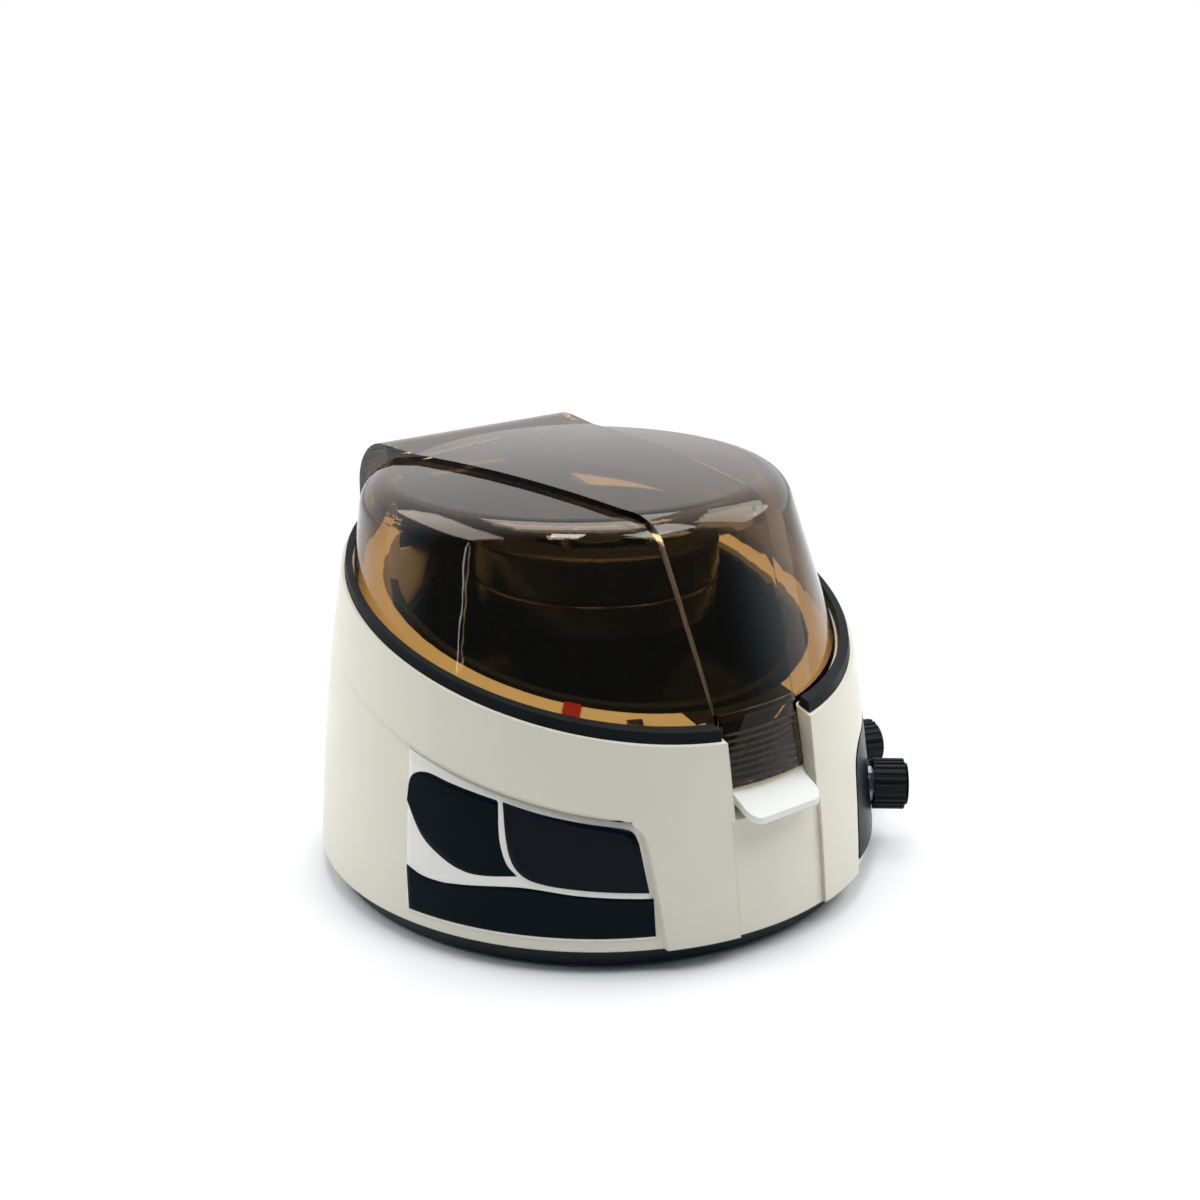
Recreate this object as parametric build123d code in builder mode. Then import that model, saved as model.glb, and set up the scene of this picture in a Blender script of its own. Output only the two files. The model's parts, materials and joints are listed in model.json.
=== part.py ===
from build123d import *
import os
from math import asin, cos, degrees, radians, sin, tan

# Mini centrifuge: a round housing with a sloping rim, a hinged see-through lid and a six-tube rotor.
# Millimetres. The origin is on the rotor's axis at the height of the bench.
# The front is -Y, the display is on the -X side and the knobs are on the +X side.

# Housing shell
base_radius = 89.7
belly_setback = 4.4
belly_radius = base_radius - belly_setback
belly_height = 52.0
crown_setback = 15.0
crown_radius = base_radius - crown_setback
crown_height = 113.0
lean_angle = 2.8
lean_height = 20.0
shell_bottom = 7.5
shell_wall = 3.0
rim_height = 86.4
rim_angle = 15.0
fit_gap = 0.2
running_gap = 0.04

# Recessed cheeks on both sides, with their step line
cheek_drop = 20.7
cheek_front = 42.0
cheek_front_slant = 0.095
cheek_corner = 7.0
cheek_inset = 0.48
cheek_shift = 1.27

# Front notch with the lever, and the sunk strip under it
notch_half = 16.2
notch_drop = 44.4
notch_floor = rim_height - notch_drop
notch_wall = 2.4
notch_depth_y = -69.8
strip_half = 17.2
strip_depth = 1.2

# Bosses that take the base screws
boss_radius = 4.5
boss_setback = 12.2
boss_place = base_radius - boss_setback
boss_angles = (-125.0, -22.0, 22.0, 125.0)
boss_top = 30.0
boss_rib = 3.0

# Base plate and feet
plate_bottom = 1.5
plate_setback = 4.7
plate_radius = base_radius - plate_setback
flange_setback = 2.2
plate_flange_radius = base_radius - flange_setback
spigot_setback = 4.0
plate_spigot_radius = base_radius - spigot_setback
plate_spigot_top = 12.0
plate_wall = 2.5
plate_floor = 3.0
foot_radius = 7.0
foot_place = 66.0
foot_sink = 1.2
foot_angles = (45.0, 135.0, 225.0, 315.0)
screw_radius = 1.5
screw_head_radius = 2.9
screw_head_height = 1.6
base_screw_length = 14.0

# Rim gasket, ledge and chamber
gasket_inner = 76.3
gasket_height = 3.0
gasket_inset = 1.0
shelf_inner = 75.7
gasket_front_half = 17.2
ledge_inner = 66.0
ledge_thickness = 3.0
ledge_front_half = 19.0
bridge_reach = 72.4
liner_wall = 2.5
liner_bottom = 40.0
liner_shelf_inner = 44.0
bowl_wall = 2.2
bowl_floor_wall = 2.4
bowl_foot_radius = 60.0
bowl_corner = 10.0
bowl_hole = 8.5
bowl_drop = 0.6
scallop_angle = 140.0
scallop_radius = 24.0
scallop_rise = 14.6
scallop_height = rim_height + scallop_rise

# Lid
lid_radius = 75.7
lid_seat = 0.3
lid_wall = 2.5
lid_top_radius = 66.3
lid_top_setback = 11.2
lid_rise = 37.1
lid_top_height = rim_height + lid_rise
lid_dome = 3.4
lid_shoulder = 10.5
band_proud = 1.3
band_rise = 1.8
band_back_half = 37.5
band_back_y = 61.5
band_shoulder_half = 23.7
band_shoulder_y = -41.5
tongue_half = 14.6
tongue_top_radius = 76.9
tongue_drop = 16.4
tongue_top = rim_height - tongue_drop
tongue_foot_radius = 81.5
tongue_length = 19.7
tongue_foot = tongue_top - tongue_length
tongue_wall = 2.6
rib_half = 9.0
catch_wall = 0.8
catch_margin = 0.7
catch_drop = 4.0
rib_place = 5.7
rib_low = tongue_foot + rib_place
rib_wall = 2.4
rib_high = rib_low + rib_wall
rib_face = -75.4

# Lid hinge and its box at the back
hinge_y = 72.0
hinge_drop = 14.0
hinge_z = lid_top_height - hinge_drop
hinge_pin_radius = 1.6
hinge_box_back = 79.5
hinge_box_drop = 7.0
hinge_box_foot = hinge_z - hinge_box_drop
hinge_box_rise = 3.9
hinge_box_top = lid_top_height + hinge_box_rise
hinge_box_round = 16.0
hinge_notch_half = 38.2
hinge_notch_front = 45.0
hinge_seat_rise = 8.1
hinge_seat = rim_height + hinge_seat_rise
hinge_floor_wall = 3.8
hinge_floor = hinge_seat + hinge_floor_wall
hinge_wall_front = 57.0
hinge_wall = 4.3
hinge_wall_rise = 3.5
hinge_wall_top = hinge_z + hinge_wall_rise
barrel_near = 17.5
barrel_far = 27.6
barrel_round = 4.0
knuckle_round = 4.5
arm_half = 2.5

# Release lever
lever_y = -77.2
lever_drop = 4.3
lever_z = tongue_foot - lever_drop
lever_pin_radius = 1.25
lever_hub = 2.9
lever_hub_half = 15.9
flap_half = 13.9
flap_root_y = -79.2
flap_root_rise = 3.3
flap_root_z = lever_z + flap_root_rise
flap_tip_y = -90.0
flap_tip_drop = 2.4
flap_tip_z = lever_z - flap_tip_drop
flap_wall = 1.7
flap_corner = 4.0
arm_front = -73.6
arm_wall = 1.8
arm_rise = 15.0
arm_top = lever_z + arm_rise
hook_half = 5.0
nose_rise = 12.7
nose_low = lever_z + nose_rise
nose_reach = 0.9
spring_near = 7.6
spring_turns = 4
spring_pitch = 1.1
spring_coil = 2.3
spring_wire = 0.25
spring_reach = 1.7

# Display on the left cheek
display_angle = -42.0
display_height = 38.5
display_opening = (31.0, 15.0)
display_module_size = (30.0, 14.0)
display_module_depth = 7.1
module_setback = 7.1
display_module_face = base_radius - module_setback
display_board_size = (40.0, 34.0)
board_wall = 1.6
display_boss_place = (17.6, 14.5)
display_boss_radius = 2.2
overlay_margin = 1.6
overlay_back = -19.7
overlay_bottom = 11.0
overlay_wall = 0.3
control_wall = 1.3
overlay_lift = 0.03
window_back = -48.3
window_bottom = 26.5
window_wall = 0.6

# Knobs on the right cheek
knob_angles = (50.0, 70.0)
knob_height = 21.0
knob_radius = 7.7
knob_rib = 0.55
knob_ribs = 22
knob_length = 11.0
knob_gap = 0.4
knob_start = base_radius + knob_gap
knob_hollow_radius = 6.7
knob_hollow_depth = 2.6
knob_shaft_reach = 8.4
knob_shaft_end = knob_start + knob_shaft_reach
pot_radius = 8.0
pot_setback = 5.6
pot_face = base_radius - pot_setback
pot_length = 9.1
pot_back = pot_face - pot_length
pot_neck_radius = 3.5
pot_neck_length = 5.5
pot_neck_end = pot_face + pot_neck_length
pot_nut_radius = 5.6
pot_nut_wall = 1.9
pot_shaft_radius = 3.0
pot_shaft_sink = 5.9
pot_shaft_start = pot_face - pot_shaft_sink

# Back panel with the inlet and the power switch
panel_half = 33.0
panel_low = 15.0
panel_high = 47.0
panel_frame = 2.0
panel_setback = 10.2
panel_face = base_radius - panel_setback
panel_wall = 2.5
inlet_x = -14.5
socket_z = 28.5
inlet_body = (28.0, 21.0)
inlet_flange = (31.0, 25.0)
inlet_recess = (24.5, 17.0)
inlet_depth = 17.0
inlet_length = 18.5
inlet_back = panel_face - inlet_length
flange_wall = 1.6
pin_length = 13.0
pin_width = 4.0
pin_wall = 2.0
switch_x = 17.5
switch_body = (13.6, 20.4)
switch_flange = (17.0, 23.0)
switch_mouth = (11.2, 17.8)
switch_length = 13.5
switch_back = panel_face - switch_length
rocker_sink = 2.0
rocker_pivot_y = panel_face - rocker_sink
rocker_half = 5.3
rocker_stub = 1.0
rocker_tilt = 8.0

# Motor
can_radius = 21.0
can_wall = 1.4
can_bottom = 7.5
can_top = 31.0
cap_top = 33.0
motor_boss = 8.0
bearing_radius = 6.0
bearing_width = 4.0
bearing_low = 9.0
magnet_wall = 2.8
magnet_low = 12.0
magnet_high = 26.0
armature_radius = 15.8
armature_low = 14.0
armature_high = 25.0
shaft_radius = 2.5
shaft_bottom = 9.2
bracket_radius = 24.0
bracket_wall = 2.5
bracket_hole = 9.0
bracket_arm = 10.0
post_place = 42.0
post_radius = 5.0
isolator_height = 8.0
motor_screw_length = 17.5

# Rotor
rotor_radius = 38.0
rotor_bottom = 54.0
rotor_foot_radius = 22.0
rotor_skirt = 84.0
rotor_top = 108.0
rotor_dish = 97.0
rotor_dish_radius = 11.0
rotor_groove = 94.0
rotor_groove_depth = 0.8
tube_count = 6
tube_radius = 5.6
tube_tilt = 40.0
tube_mouth = 15.6
tube_depth = 26.0
collar_radius = 4.5
collar_height = 4.0
nut_radius = 8.3
nut_height = 9.0
nut_cap = 1.5
nut_flutes = 12

# Boards and small parts
board_x = -62.0
board_y = 3.0
board_size = (24.0, 54.0)
board_bottom = 9.0
standoff_radius = 2.4
standoff_inset = 3.0
capacitor_radius = 5.0
capacitor_height = 16.0
converter_size = (18.0, 26.0, 14.0)
tab_angle = -44.0
tab_width = 4.6
tab_outer = 72.9
tab_sink = 1.4
tab_rise = 0.7
clip_angle = -29.5
clip_radius = 71.2
clip_width = 4.2
clip_wall = 0.8
clip_rise = 0.8
lid_switch_size = (12.0, 6.5, 9.0)

slope = radians(rim_angle)
far = 130.0
side_arc = ThreePointArc((base_radius, shell_bottom), (belly_radius, belly_height), (crown_radius, crown_height))
side_centre = side_arc.arc_center


def rim_z(y, lift=0.0):
    """Height of the sloping rim at the place y, raised by lift."""
    return rim_height + lift + y * tan(slope)


def rim_plane(lift=0.0):
    """Plane of the sloping rim, raised by lift, with its normal up and forwards."""
    return Plane(origin=(0, 0, rim_height + lift), x_dir=(1, 0, 0), z_dir=(0, -sin(slope), cos(slope)))


def radial_plane(angle, radius, height):
    """Upright plane that faces outwards, angle degrees from the front towards +X."""
    turn = radians(angle)
    outwards = (sin(turn), -cos(turn), 0)
    centre = (radius * outwards[0], radius * outwards[1], height)
    return Plane(origin=centre, x_dir=(cos(turn), sin(turn), 0), z_dir=outwards)


def polar(radius, angle):
    """Place on the ground plan, angle degrees from the front towards +X."""
    turn = radians(angle)
    return (radius * sin(turn), -radius * cos(turn))


def wall_radius(height):
    """Outer radius of the housing at a height, on the arc of its side."""
    return side_centre.X + (side_arc.radius**2 - (height - side_centre.Y) ** 2) ** 0.5


def wall_line(inset):
    """The housing's curved side in the section plane, drawn down to the bench and moved in by inset."""
    return ThreePointArc(*((wall_radius(height) - inset, height) for height in (0, belly_height, crown_height)))


def barrel(inset, shift=0.0):
    """Solid of the housing's outer form, leaning back, moved in by inset and back by shift."""
    with BuildPart() as form:
        with BuildSketch(Plane(origin=(0, shift, 0), x_dir=(1, 0, 0), z_dir=(0, -1, 0))):
            with BuildLine():
                side = wall_line(inset)
                Polyline(side @ 1, (0, crown_height), (0, 0), side @ 0)
            make_face()
        revolve(axis=Axis((0, shift, 0), (0, 0, 1)))
    return form.part.rotate(Axis((0, shift, lean_height), (1, 0, 0)), -lean_angle)


def cheek_radius(angle, height):
    """Radius of the recessed cheek's face at an angle from the front."""
    turn = radians(angle)
    lean = radians(lean_angle)
    rise = height - lean_height
    radius = base_radius
    for _ in range(20):
        back = -radius * cos(turn) - cheek_shift
        own_y = back * cos(lean) - rise * sin(lean)
        own_z = lean_height + back * sin(lean) + rise * cos(lean)
        radius += wall_radius(own_z) - cheek_inset - ((radius * sin(turn)) ** 2 + own_y**2) ** 0.5
    return radius


def block(low, high):
    """Box between two corners."""
    size = [high[i] - low[i] for i in range(3)]
    with BuildPart(Plane(origin=low)) as form:
        Box(*size, align=(Align.MIN, Align.MIN, Align.MIN))
    return form.part


def sloped_ring(inner, outer, low, high):
    """Upright ring between two radii, cut level with the rim at the lifts low and high."""
    with BuildPart() as form:
        with BuildSketch():
            Circle(outer)
            Circle(inner, mode=Mode.SUBTRACT)
        extrude(amount=far)
        split(bisect_by=rim_plane(high), keep=Keep.BOTTOM)
        split(bisect_by=rim_plane(low), keep=Keep.TOP)
    return form.part


def cheek_prism(side, margin, back):
    """Space of one cheek: below the step line, behind the slanted front edge, as far back as back."""
    drop = cheek_drop + margin
    top = Plane(
        origin=(0, back, rim_z(back, -drop)),
        x_dir=(1, 0, 0),
        z_dir=(0, -cos(slope), -sin(slope)),
    )
    front = cheek_front + margin
    foot = front - cheek_front_slant * far
    with BuildPart() as form:
        with BuildSketch(top) as outline:
            with BuildLine():
                Polyline((side * front, 0), (side * far, 0), (side * far, -far), (side * foot, -far), close=True)
            make_face()
            corner = outline.vertices().sort_by_distance((side * front, 0))[0]
            fillet(corner, cheek_corner)
        extrude(amount=2 * far)
    return form.part


def cheek_film(side, low, high, margin, back, bottom):
    """Thin skin on a cheek's face, between the lifts low and high."""
    with BuildPart() as form:
        add(cheek_prism(side, margin, back))
        add(barrel(cheek_inset - high, cheek_shift), mode=Mode.INTERSECT)
        add(barrel(cheek_inset - low, cheek_shift), mode=Mode.SUBTRACT)
        split(bisect_by=Plane.XY.offset(bottom), keep=Keep.TOP)
    return form.part


def lid_form(grow, rise, round_edge):
    """The lid's solid form: a sloping foot ring drawn up to a level domed top that is set back."""
    foot = lid_radius + grow
    top = lid_top_radius + grow
    height = lid_top_height + rise
    with BuildPart() as form:
        with BuildSketch(rim_plane(lid_seat)):
            Ellipse(foot, foot / cos(slope))
        with BuildSketch(Plane.XY.offset(height)):
            with Locations((0, lid_top_setback)):
                Circle(top)
        loft(ruled=True)
        with BuildSketch(Plane(origin=(0, lid_top_setback, 0), x_dir=(1, 0, 0), z_dir=(0, -1, 0))):
            with BuildLine():
                ball = (top**2 + lid_dome**2) / (2 * lid_dome)
                spread = degrees(asin(top / ball))
                cap = CenterArc((0, height + lid_dome - ball), ball, 90 - spread, spread)
                Polyline(cap @ 1, (0, height), cap @ 0)
            make_face()
        revolve(axis=Axis((0, lid_top_setback, 0), (0, 0, 1)))
        fillet(form.edges().filter_by_position(Axis.Z, height - 0.01, height + 0.01), round_edge)
    return form.part


def side_prism(points, half, corner=None, round_edge=0.0):
    """Bar along X between -half and half, with an outline of (y, z) points, one corner rounded if given."""
    with BuildPart() as form:
        with BuildSketch(Plane.YZ) as outline:
            with BuildLine():
                Polyline(*points, close=True)
            make_face()
            if corner:
                fillet(outline.vertices().sort_by_distance(corner)[0], round_edge)
        extrude(amount=half, both=True)
    return form.part


def cross_rod(radius, start, end, y, z):
    """Round rod along X between start and end."""
    with BuildPart() as form:
        with BuildSketch(Plane(origin=(start, y, z), x_dir=(0, 1, 0), z_dir=(1, 0, 0))):
            Circle(radius)
        extrude(amount=end - start)
    return form.part


def radial_block(angle, width, near, end, low, high):
    """Box that points outwards at an angle from the front, between two radii and two heights."""
    with BuildPart() as form:
        with BuildSketch(radial_plane(angle, near, (low + high) / 2)):
            Rectangle(width, high - low)
        extrude(amount=end - near)
    return form.part


def radial_rod(angle, radius, near, end, height):
    """Round rod that points outwards at an angle from the front, between two radii."""
    with BuildPart() as form:
        with BuildSketch(radial_plane(angle, near, height)):
            Circle(radius)
        extrude(amount=end - near)
    return form.part


def turned(points):
    """Solid turned about the rotor's axis from (radius, z) points."""
    with BuildPart() as form:
        with BuildSketch(Plane.XZ):
            with BuildLine():
                Polyline(*points, close=True)
            make_face()
        revolve(axis=Axis.Z)
    return form.part


def tube(inner, outer, low, high):
    """Upright ring about the rotor's axis."""
    return turned([(inner, low), (outer, low), (outer, high), (inner, high)])


def disc(radius, low, high):
    """Upright disc about the rotor's axis."""
    return turned([(0, low), (radius, low), (radius, high), (0, high)])


def upright_rods(radius, places, low, high):
    """Upright round rods at (x, y) places."""
    with BuildPart() as form:
        with BuildSketch(Plane.XY.offset(low)):
            with Locations(*places):
                Circle(radius)
        extrude(amount=high - low)
    return form.part


def cup(inset, floor):
    """Solid form of the bowl, with a rounded foot, moved in by inset above the given floor."""
    foot = bowl_foot_radius - inset
    top = ledge_inner - 0.4 - inset
    with BuildPart() as form:
        with BuildSketch(Plane.XZ) as outline:
            with BuildLine():
                Polyline((0, floor), (foot, floor), (top, crown_height), (0, crown_height), close=True)
            make_face()
            fillet(outline.vertices().sort_by_distance((foot, floor))[0], bowl_corner - inset)
        revolve(axis=Axis.Z)
    return form.part


def wedge(inset):
    """Upright prism of the lid's band: narrow at the front, wide at the back."""
    back = band_back_half - inset
    shoulder = band_shoulder_half - inset
    front = tongue_half - inset
    half = [(front, -far), (front, -lid_radius), (shoulder, band_shoulder_y), (back, band_back_y), (back, far)]
    with BuildPart() as form:
        with BuildSketch():
            with BuildLine():
                Polyline(*half, *[(-x, y) for x, y in reversed(half)], close=True)
            make_face()
        extrude(amount=2 * far)
    return form.part


# Housing shell
boss_places = [polar(boss_place, angle) for angle in boss_angles]
floor_top = plate_bottom + plate_floor
panel_slot = panel_half + fit_gap
panel_back = panel_face - panel_wall

with BuildPart() as inner_walls:
    add(
        block(
            (-notch_half - notch_wall, -far, notch_floor - notch_wall),
            (notch_half + notch_wall, notch_depth_y, rim_height),
        )
    )
    add(
        block(
            (-panel_slot - panel_frame, panel_back - panel_frame, panel_low - fit_gap - panel_frame),
            (panel_slot + panel_frame, far, panel_high + fit_gap + panel_frame),
        )
    )
    add(upright_rods(boss_radius, boss_places, floor_top, boss_top))
    for angle in boss_angles:
        add(radial_block(angle, boss_rib, boss_place, base_radius, plate_spigot_top + 1, boss_top))
    with BuildSketch(radial_plane(display_angle, display_module_face - display_module_depth, display_height)):
        with GridLocations(2 * display_boss_place[0], 2 * display_boss_place[1], 2, 2):
            Circle(display_boss_radius)
    extrude(amount=12)
    add(barrel(shell_wall / 2), mode=Mode.INTERSECT)
    split(bisect_by=rim_plane(), keep=Keep.BOTTOM)

with BuildPart() as rim_shelf:
    add(sloped_ring(shelf_inner, base_radius, -ledge_thickness - shell_wall, -ledge_thickness - 0.05))
    add(barrel(shell_wall / 2), mode=Mode.INTERSECT)
    notch_edge = hinge_notch_half + fit_gap
    add(block((-notch_edge, hinge_notch_front, 0), (notch_edge, far, far)), mode=Mode.SUBTRACT)

with BuildPart() as housing_shell:
    add(barrel(0))
    add(barrel(shell_wall), mode=Mode.SUBTRACT)
    split(bisect_by=rim_plane(), keep=Keep.BOTTOM)
    split(bisect_by=Plane.XY.offset(shell_bottom), keep=Keep.TOP)
    add(rim_shelf.part)
    add(inner_walls.part)
    for side in (-1, 1):
        add(cheek_prism(side, 0.0, far / 2) - barrel(cheek_inset, cheek_shift), mode=Mode.SUBTRACT)
    add(block((-strip_half, -far, 0), (strip_half, 0, notch_floor)) - barrel(strip_depth), mode=Mode.SUBTRACT)
    add(
        block((-notch_half, -far, notch_floor), (notch_half, notch_depth_y + 10, crown_height)),
        mode=Mode.SUBTRACT,
    )
    pin_reach = notch_half + notch_wall - fit_gap
    add(cross_rod(lever_pin_radius + fit_gap / 4, -pin_reach, pin_reach, lever_y, lever_z), mode=Mode.SUBTRACT)
    add(
        block((-hinge_notch_half, hinge_notch_front, hinge_floor + fit_gap), (hinge_notch_half, far, far)),
        mode=Mode.SUBTRACT,
    )
    add(
        block((-panel_slot, panel_back, panel_low - fit_gap), (panel_slot, far, panel_high + fit_gap)),
        mode=Mode.SUBTRACT,
    )
    add(
        block(
            (-panel_half + panel_frame, belly_height, panel_low + panel_frame),
            (panel_half - panel_frame, far, panel_high - panel_frame),
        ),
        mode=Mode.SUBTRACT,
    )
    with BuildSketch(radial_plane(display_angle, display_module_face - 5, display_height)):
        Rectangle(*display_opening)
    extrude(amount=20, mode=Mode.SUBTRACT)
    for angle in knob_angles:
        add(radial_rod(angle, pot_neck_radius + fit_gap, pot_back, far, knob_height), mode=Mode.SUBTRACT)
    add(
        upright_rods(screw_radius + fit_gap / 4, boss_places, 0, floor_top + base_screw_length),
        mode=Mode.SUBTRACT,
    )

# Base plate, feet and screws
foot_places = [(0, 0)] + [polar(foot_place, angle) for angle in foot_angles]
post_places = [polar(post_place, angle) for angle in foot_angles]
inset_x = board_size[0] / 2 - standoff_inset
inset_y = board_size[1] / 2 - standoff_inset
standoff_places = [(board_x + i * inset_x, board_y + j * inset_y) for i in (-1, 1) for j in (-1, 1)]
post_top = cap_top - isolator_height
screw_seat = plate_bottom + screw_head_height + 0.1

with BuildPart() as base_plate:
    add(
        turned(
            [
                (0, plate_bottom),
                (plate_radius, plate_bottom),
                (plate_flange_radius, shell_bottom),
                (plate_spigot_radius, shell_bottom),
                (plate_spigot_radius, plate_spigot_top),
                (plate_spigot_radius - plate_wall, plate_spigot_top),
                (plate_spigot_radius - plate_wall, floor_top),
                (0, floor_top),
            ]
        )
    )
    add(upright_rods(post_radius, post_places, floor_top, post_top))
    add(upright_rods(standoff_radius, standoff_places, floor_top, board_bottom))
    add(upright_rods(foot_radius + fit_gap, foot_places, 0, plate_bottom + foot_sink), mode=Mode.SUBTRACT)
    add(upright_rods(screw_head_radius + 0.5, boss_places, 0, screw_seat), mode=Mode.SUBTRACT)
    add(upright_rods(screw_radius + 0.3, boss_places, 0, floor_top), mode=Mode.SUBTRACT)
    add(upright_rods(screw_radius + fit_gap / 4, post_places, post_top - 12, post_top), mode=Mode.SUBTRACT)

with BuildPart() as feet:
    add(upright_rods(foot_radius, foot_places, 0, plate_bottom + foot_sink))
    fillet(feet.edges().group_by(Axis.Z)[0], 0.6)

with BuildPart() as base_screws:
    add(upright_rods(screw_head_radius, boss_places, plate_bottom + 0.1, screw_seat))
    add(upright_rods(screw_radius, boss_places, screw_seat, screw_seat + base_screw_length))

# Rim gasket, ledge with its wall, chamber bowl and the front piece
rear_low = (-hinge_notch_half - fit_gap, hinge_notch_front, hinge_seat)
rear_high = (hinge_notch_half + fit_gap, far, far)
liner_outer = ledge_inner + liner_wall
clip_y = polar(clip_radius, clip_angle)[1]
clip_top = rim_z(clip_y, clip_rise)
switch_near = liner_outer + 0.3
switch_end = switch_near + lid_switch_size[1]
switch_top = rim_z(-switch_end, -ledge_thickness) + 1.8
switch_bottom = switch_top - lid_switch_size[2]
tab_slot = radial_block(tab_angle, tab_width + fit_gap, ledge_inner - 3, tab_outer + fit_gap, 0, far)
clip_slot = radial_block(clip_angle, clip_width + 2 * fit_gap, clip_radius - 1.6, clip_radius + 1.6, switch_top, far)

with BuildPart() as rim_gasket:
    with BuildSketch(rim_plane()):
        Ellipse(base_radius, base_radius / cos(slope))
        Ellipse(gasket_inner, gasket_inner / cos(slope), mode=Mode.SUBTRACT)
    extrude(amount=gasket_height)
    add(barrel(gasket_inset), mode=Mode.INTERSECT)
    add(lid_form(gasket_inner - lid_radius - 0.1, 0.5, lid_shoulder), mode=Mode.SUBTRACT)
    add(block((-gasket_front_half, -far, 0), (gasket_front_half, 0, far)), mode=Mode.SUBTRACT)
    add(block((-hinge_notch_half, 0, 0), (hinge_notch_half, far, far)), mode=Mode.SUBTRACT)

with BuildPart() as under_ledge:
    add(tube(liner_outer, far, 0, far))
    split(bisect_by=rim_plane(-ledge_thickness), keep=Keep.BOTTOM)

with BuildPart() as front_gap:
    add(block((-ledge_front_half, -far, 0), (ledge_front_half, 0, far)))
    split(bisect_by=rim_plane(-ledge_thickness), keep=Keep.TOP)

with BuildPart() as deck_liner:
    add(barrel(shell_wall + fit_gap))
    split(bisect_by=rim_plane(), keep=Keep.BOTTOM)
    split(bisect_by=Plane.XY.offset(liner_bottom), keep=Keep.TOP)
    add(under_ledge.part, mode=Mode.SUBTRACT)
    add(disc(ledge_inner, liner_bottom + liner_wall, far), mode=Mode.SUBTRACT)
    add(disc(liner_shelf_inner, 0, far), mode=Mode.SUBTRACT)
    add(front_gap.part, mode=Mode.SUBTRACT)
    add(block(rear_low, rear_high), mode=Mode.SUBTRACT)
    add(tab_slot & sloped_ring(ledge_inner - 1, base_radius, -tab_sink, 1), mode=Mode.SUBTRACT)
    add(clip_slot, mode=Mode.SUBTRACT)
    add(radial_block(clip_angle, lid_switch_size[0], ledge_inner + 0.8, switch_near, switch_bottom, switch_top))

with BuildPart() as bowl:
    add(cup(0, liner_bottom + liner_wall))
    add(cup(bowl_wall, liner_bottom + liner_wall + bowl_floor_wall), mode=Mode.SUBTRACT)
    split(bisect_by=rim_plane(-bowl_drop), keep=Keep.BOTTOM)
    add(block(rear_low, rear_high), mode=Mode.SUBTRACT)
    add(disc(bowl_hole, liner_bottom, liner_bottom + 10), mode=Mode.SUBTRACT)
    for angle in (-scallop_angle, scallop_angle):
        add(radial_rod(angle, scallop_radius, liner_shelf_inner, far, scallop_height), mode=Mode.SUBTRACT)

with BuildPart() as front_bridge:
    add(sloped_ring(ledge_inner, base_radius, -ledge_thickness, 0))
    bridge_half = ledge_front_half - fit_gap
    lip_half = notch_half - fit_gap
    inner_block = block((-bridge_half, notch_depth_y + fit_gap, 0), (bridge_half, 0, far))
    lip_block = block((-lip_half, -bridge_reach, 0), (lip_half, 0, far))
    add(inner_block + lip_block, mode=Mode.INTERSECT)

with BuildPart() as red_tab:
    add(sloped_ring(ledge_inner + 0.1, tab_outer, -tab_sink, tab_rise))
    add(radial_block(tab_angle, tab_width, ledge_inner - 3, far, 0, far), mode=Mode.INTERSECT)

with BuildPart() as lid_switch:
    add(radial_block(clip_angle, lid_switch_size[0], switch_near, switch_end, switch_bottom, switch_top))

with BuildPart() as lid_clip:
    add(radial_block(clip_angle, clip_width, clip_radius - 1.3, clip_radius + 1.3, switch_top, clip_top))
    add(
        radial_block(
            clip_angle, clip_width - 2 * clip_wall, clip_radius - 2, clip_radius + 2, 0, clip_top - clip_wall
        ),
        mode=Mode.SUBTRACT,
    )

# Hinge block at the back
with BuildPart() as hinge_block:
    half = hinge_notch_half - fit_gap
    wall_half = band_back_half - lid_wall - 1.2
    wall_back = hinge_wall_front + hinge_wall
    arm_x = (barrel_near + barrel_far) / 2
    arm_width = barrel_far - barrel_near
    add(block((-half, hinge_wall_front, hinge_seat), (half, hinge_y + arm_half, hinge_floor)))
    add(barrel(shell_wall + fit_gap), mode=Mode.INTERSECT)
    add(block((-wall_half, hinge_wall_front, hinge_seat), (wall_half, wall_back, hinge_wall_top)))
    for side in (-1, 1):
        near = min(side * barrel_near, side * barrel_far)
        add(
            block(
                (near, hinge_wall_front, hinge_z - arm_half),
                (near + arm_width, hinge_y, hinge_z + arm_half),
            )
        )
        add(cross_rod(barrel_round, near, near + arm_width, hinge_y, hinge_z))
        add(
            cross_rod(hinge_pin_radius + 1.5 * running_gap, near - 1, near + arm_width + 1, hinge_y, hinge_z),
            mode=Mode.SUBTRACT,
        )

# Lid with its band, hinge box and tongue
box_inner_top = hinge_box_top - lid_wall
box_inner_back = hinge_box_back - lid_wall
outer_box = side_prism(
    [
        (lid_top_setback + 4, lid_top_height - 6),
        (lid_top_setback + 4, lid_top_height + 2),
        (band_back_y, hinge_box_top),
        (hinge_box_back, hinge_box_top),
        (hinge_box_back, hinge_box_foot),
        (band_back_y, hinge_box_foot),
    ],
    band_back_half,
    (hinge_box_back, hinge_box_top),
    hinge_box_round,
)
inner_box = side_prism(
    [
        (lid_top_setback, lid_top_height - 12),
        (lid_top_setback, lid_top_height - 1.5),
        (band_back_y, box_inner_top),
        (box_inner_back, box_inner_top),
        (box_inner_back, hinge_box_foot - 5),
        (hinge_notch_front, hinge_box_foot - 5),
    ],
    band_back_half - lid_wall,
    (box_inner_back, box_inner_top),
    hinge_box_round - lid_wall,
)
knuckle_near = barrel_far + 0.4
knuckle_far = band_back_half - lid_wall + 0.5
tongue_slope = (tongue_foot_radius - tongue_top_radius) / (tongue_top - tongue_foot)


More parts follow.
